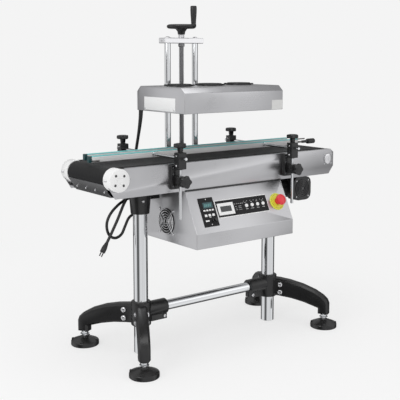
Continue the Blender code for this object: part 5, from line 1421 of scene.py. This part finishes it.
for number, x in enumerate(KEY_XS, 1):
    bm = bmesh.new()
    lathe(bm,
          [(0, 0.0065), (KEY_RADIUS - 0.0014, 0.0065), (KEY_RADIUS - 0.0004, 0.0060), (KEY_RADIUS, 0.0050),
               (KEY_RADIUS, -0.0058), (0, -0.0058)], (x, KEY_UP, 0), (0, 0, 1), 36)
    bmesh.ops.transform(bm, verts=bm.verts, matrix=PANEL)
    key = finished(f"push_key_{number}", bm, INK_WHITE, f"button_{number}", 30)
    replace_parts(key, f"panel_button_{number}")
bm = bmesh.new()
lathe(bm,
      [(0, 0.0145), (KNOB_RADIUS * 0.62, 0.0145), (KNOB_RADIUS * 0.72, 0.0138), (KNOB_RADIUS * 0.80, 0.0060),
           (KNOB_RADIUS * 0.96, 0.0050), (KNOB_RADIUS, 0.0045), (KNOB_RADIUS, 0.0034), (0.003, 0.0034),
           (0.003, -0.0058), (0, -0.0058)], (KNOB_X, KNOB_UP, 0), (0, 0, 1), 36)
block(bm, (KNOB_X - 0.0005, KNOB_UP + 0.0005, 0.0140), (KNOB_X + 0.0005, KNOB_UP + 0.0048, 0.0148), 0.0001, 1)
bmesh.ops.transform(bm, verts=bm.verts, matrix=PANEL)
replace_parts(finished("dial_knob", bm, KNOB_PLASTIC, "mode_knob", 30), "power_knob")
bm = bmesh.new()
for x, up in ((c0[0] + 0.031, c1[1] - 0.006), (c0[0] + 0.031, c0[1] + 0.007)):
    at = PANEL @ Vector((x, up, 0.0030))
    cap_screw(bm, at, OUTWARD, 0.0024, 0.0014, 16)
finished("controller_screws", bm, ZINC, "frame", 35)
bm = bmesh.new()
lathe(bm,
      [(0.0118, 0.0036), (0.0300, 0.0030), (COLLAR_RADIUS, 0.0022), (COLLAR_RADIUS, -0.0002),
       (0.0118, -0.0002),
           (0.0118, 0.0036)], (ESTOP_X, ESTOP_UP, 0), (0, 0, 1), 64)
bmesh.ops.transform(bm, verts=bm.verts, matrix=PANEL)
YELLOW = moulded("yellow_collar", (0.80, 0.84, 0.07, 1), 0.36, grain=600, bump=0.05, strength=0.06)
finished("stop_collar", bm, YELLOW, "frame", 30)
bm = bmesh.new()
for number in range(8):
    turn = math.radians(45 * number + 22.5)
    for gap in (-0.006, 0.0, 0.006):
        a = turn + gap / 0.026
        tick = bmesh.new()
        block(tick, (0.0245, -0.0007, 0.0028), (0.0272, 0.0007, 0.0035), 0.0001, 1)
        joined(bm, tick, Matrix.Translation((ESTOP_X, ESTOP_UP, 0)) @ Matrix.Rotation(a, 4, "Z"))
bmesh.ops.transform(bm, verts=bm.verts, matrix=PANEL)
finished("stop_collar_ticks", bm, FACE_BLACK, "frame", 30)
bm = bmesh.new()
lathe(bm,
      [(0, 0.0335), (0.0060, 0.0340), (0.0140, 0.0326), (0.0182, 0.0298), (0.0200, 0.0250), (0.0196, 0.0215),
           (0.0182, 0.0192), (0.0130, 0.0182), (0.0110, 0.0165), (0.0108, -0.0155), (0, -0.0155)],
      (ESTOP_X, ESTOP_UP, 0), (0, 0, 1), 64)
bmesh.ops.transform(bm, verts=bm.verts, matrix=PANEL)
RED = moulded("stop_red", (0.78, 0.035, 0.050, 1), 0.30, grain=600, bump=0.06, strength=0.08)
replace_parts(finished("stop_mushroom", bm, RED, "estop", 35), "estop_button")
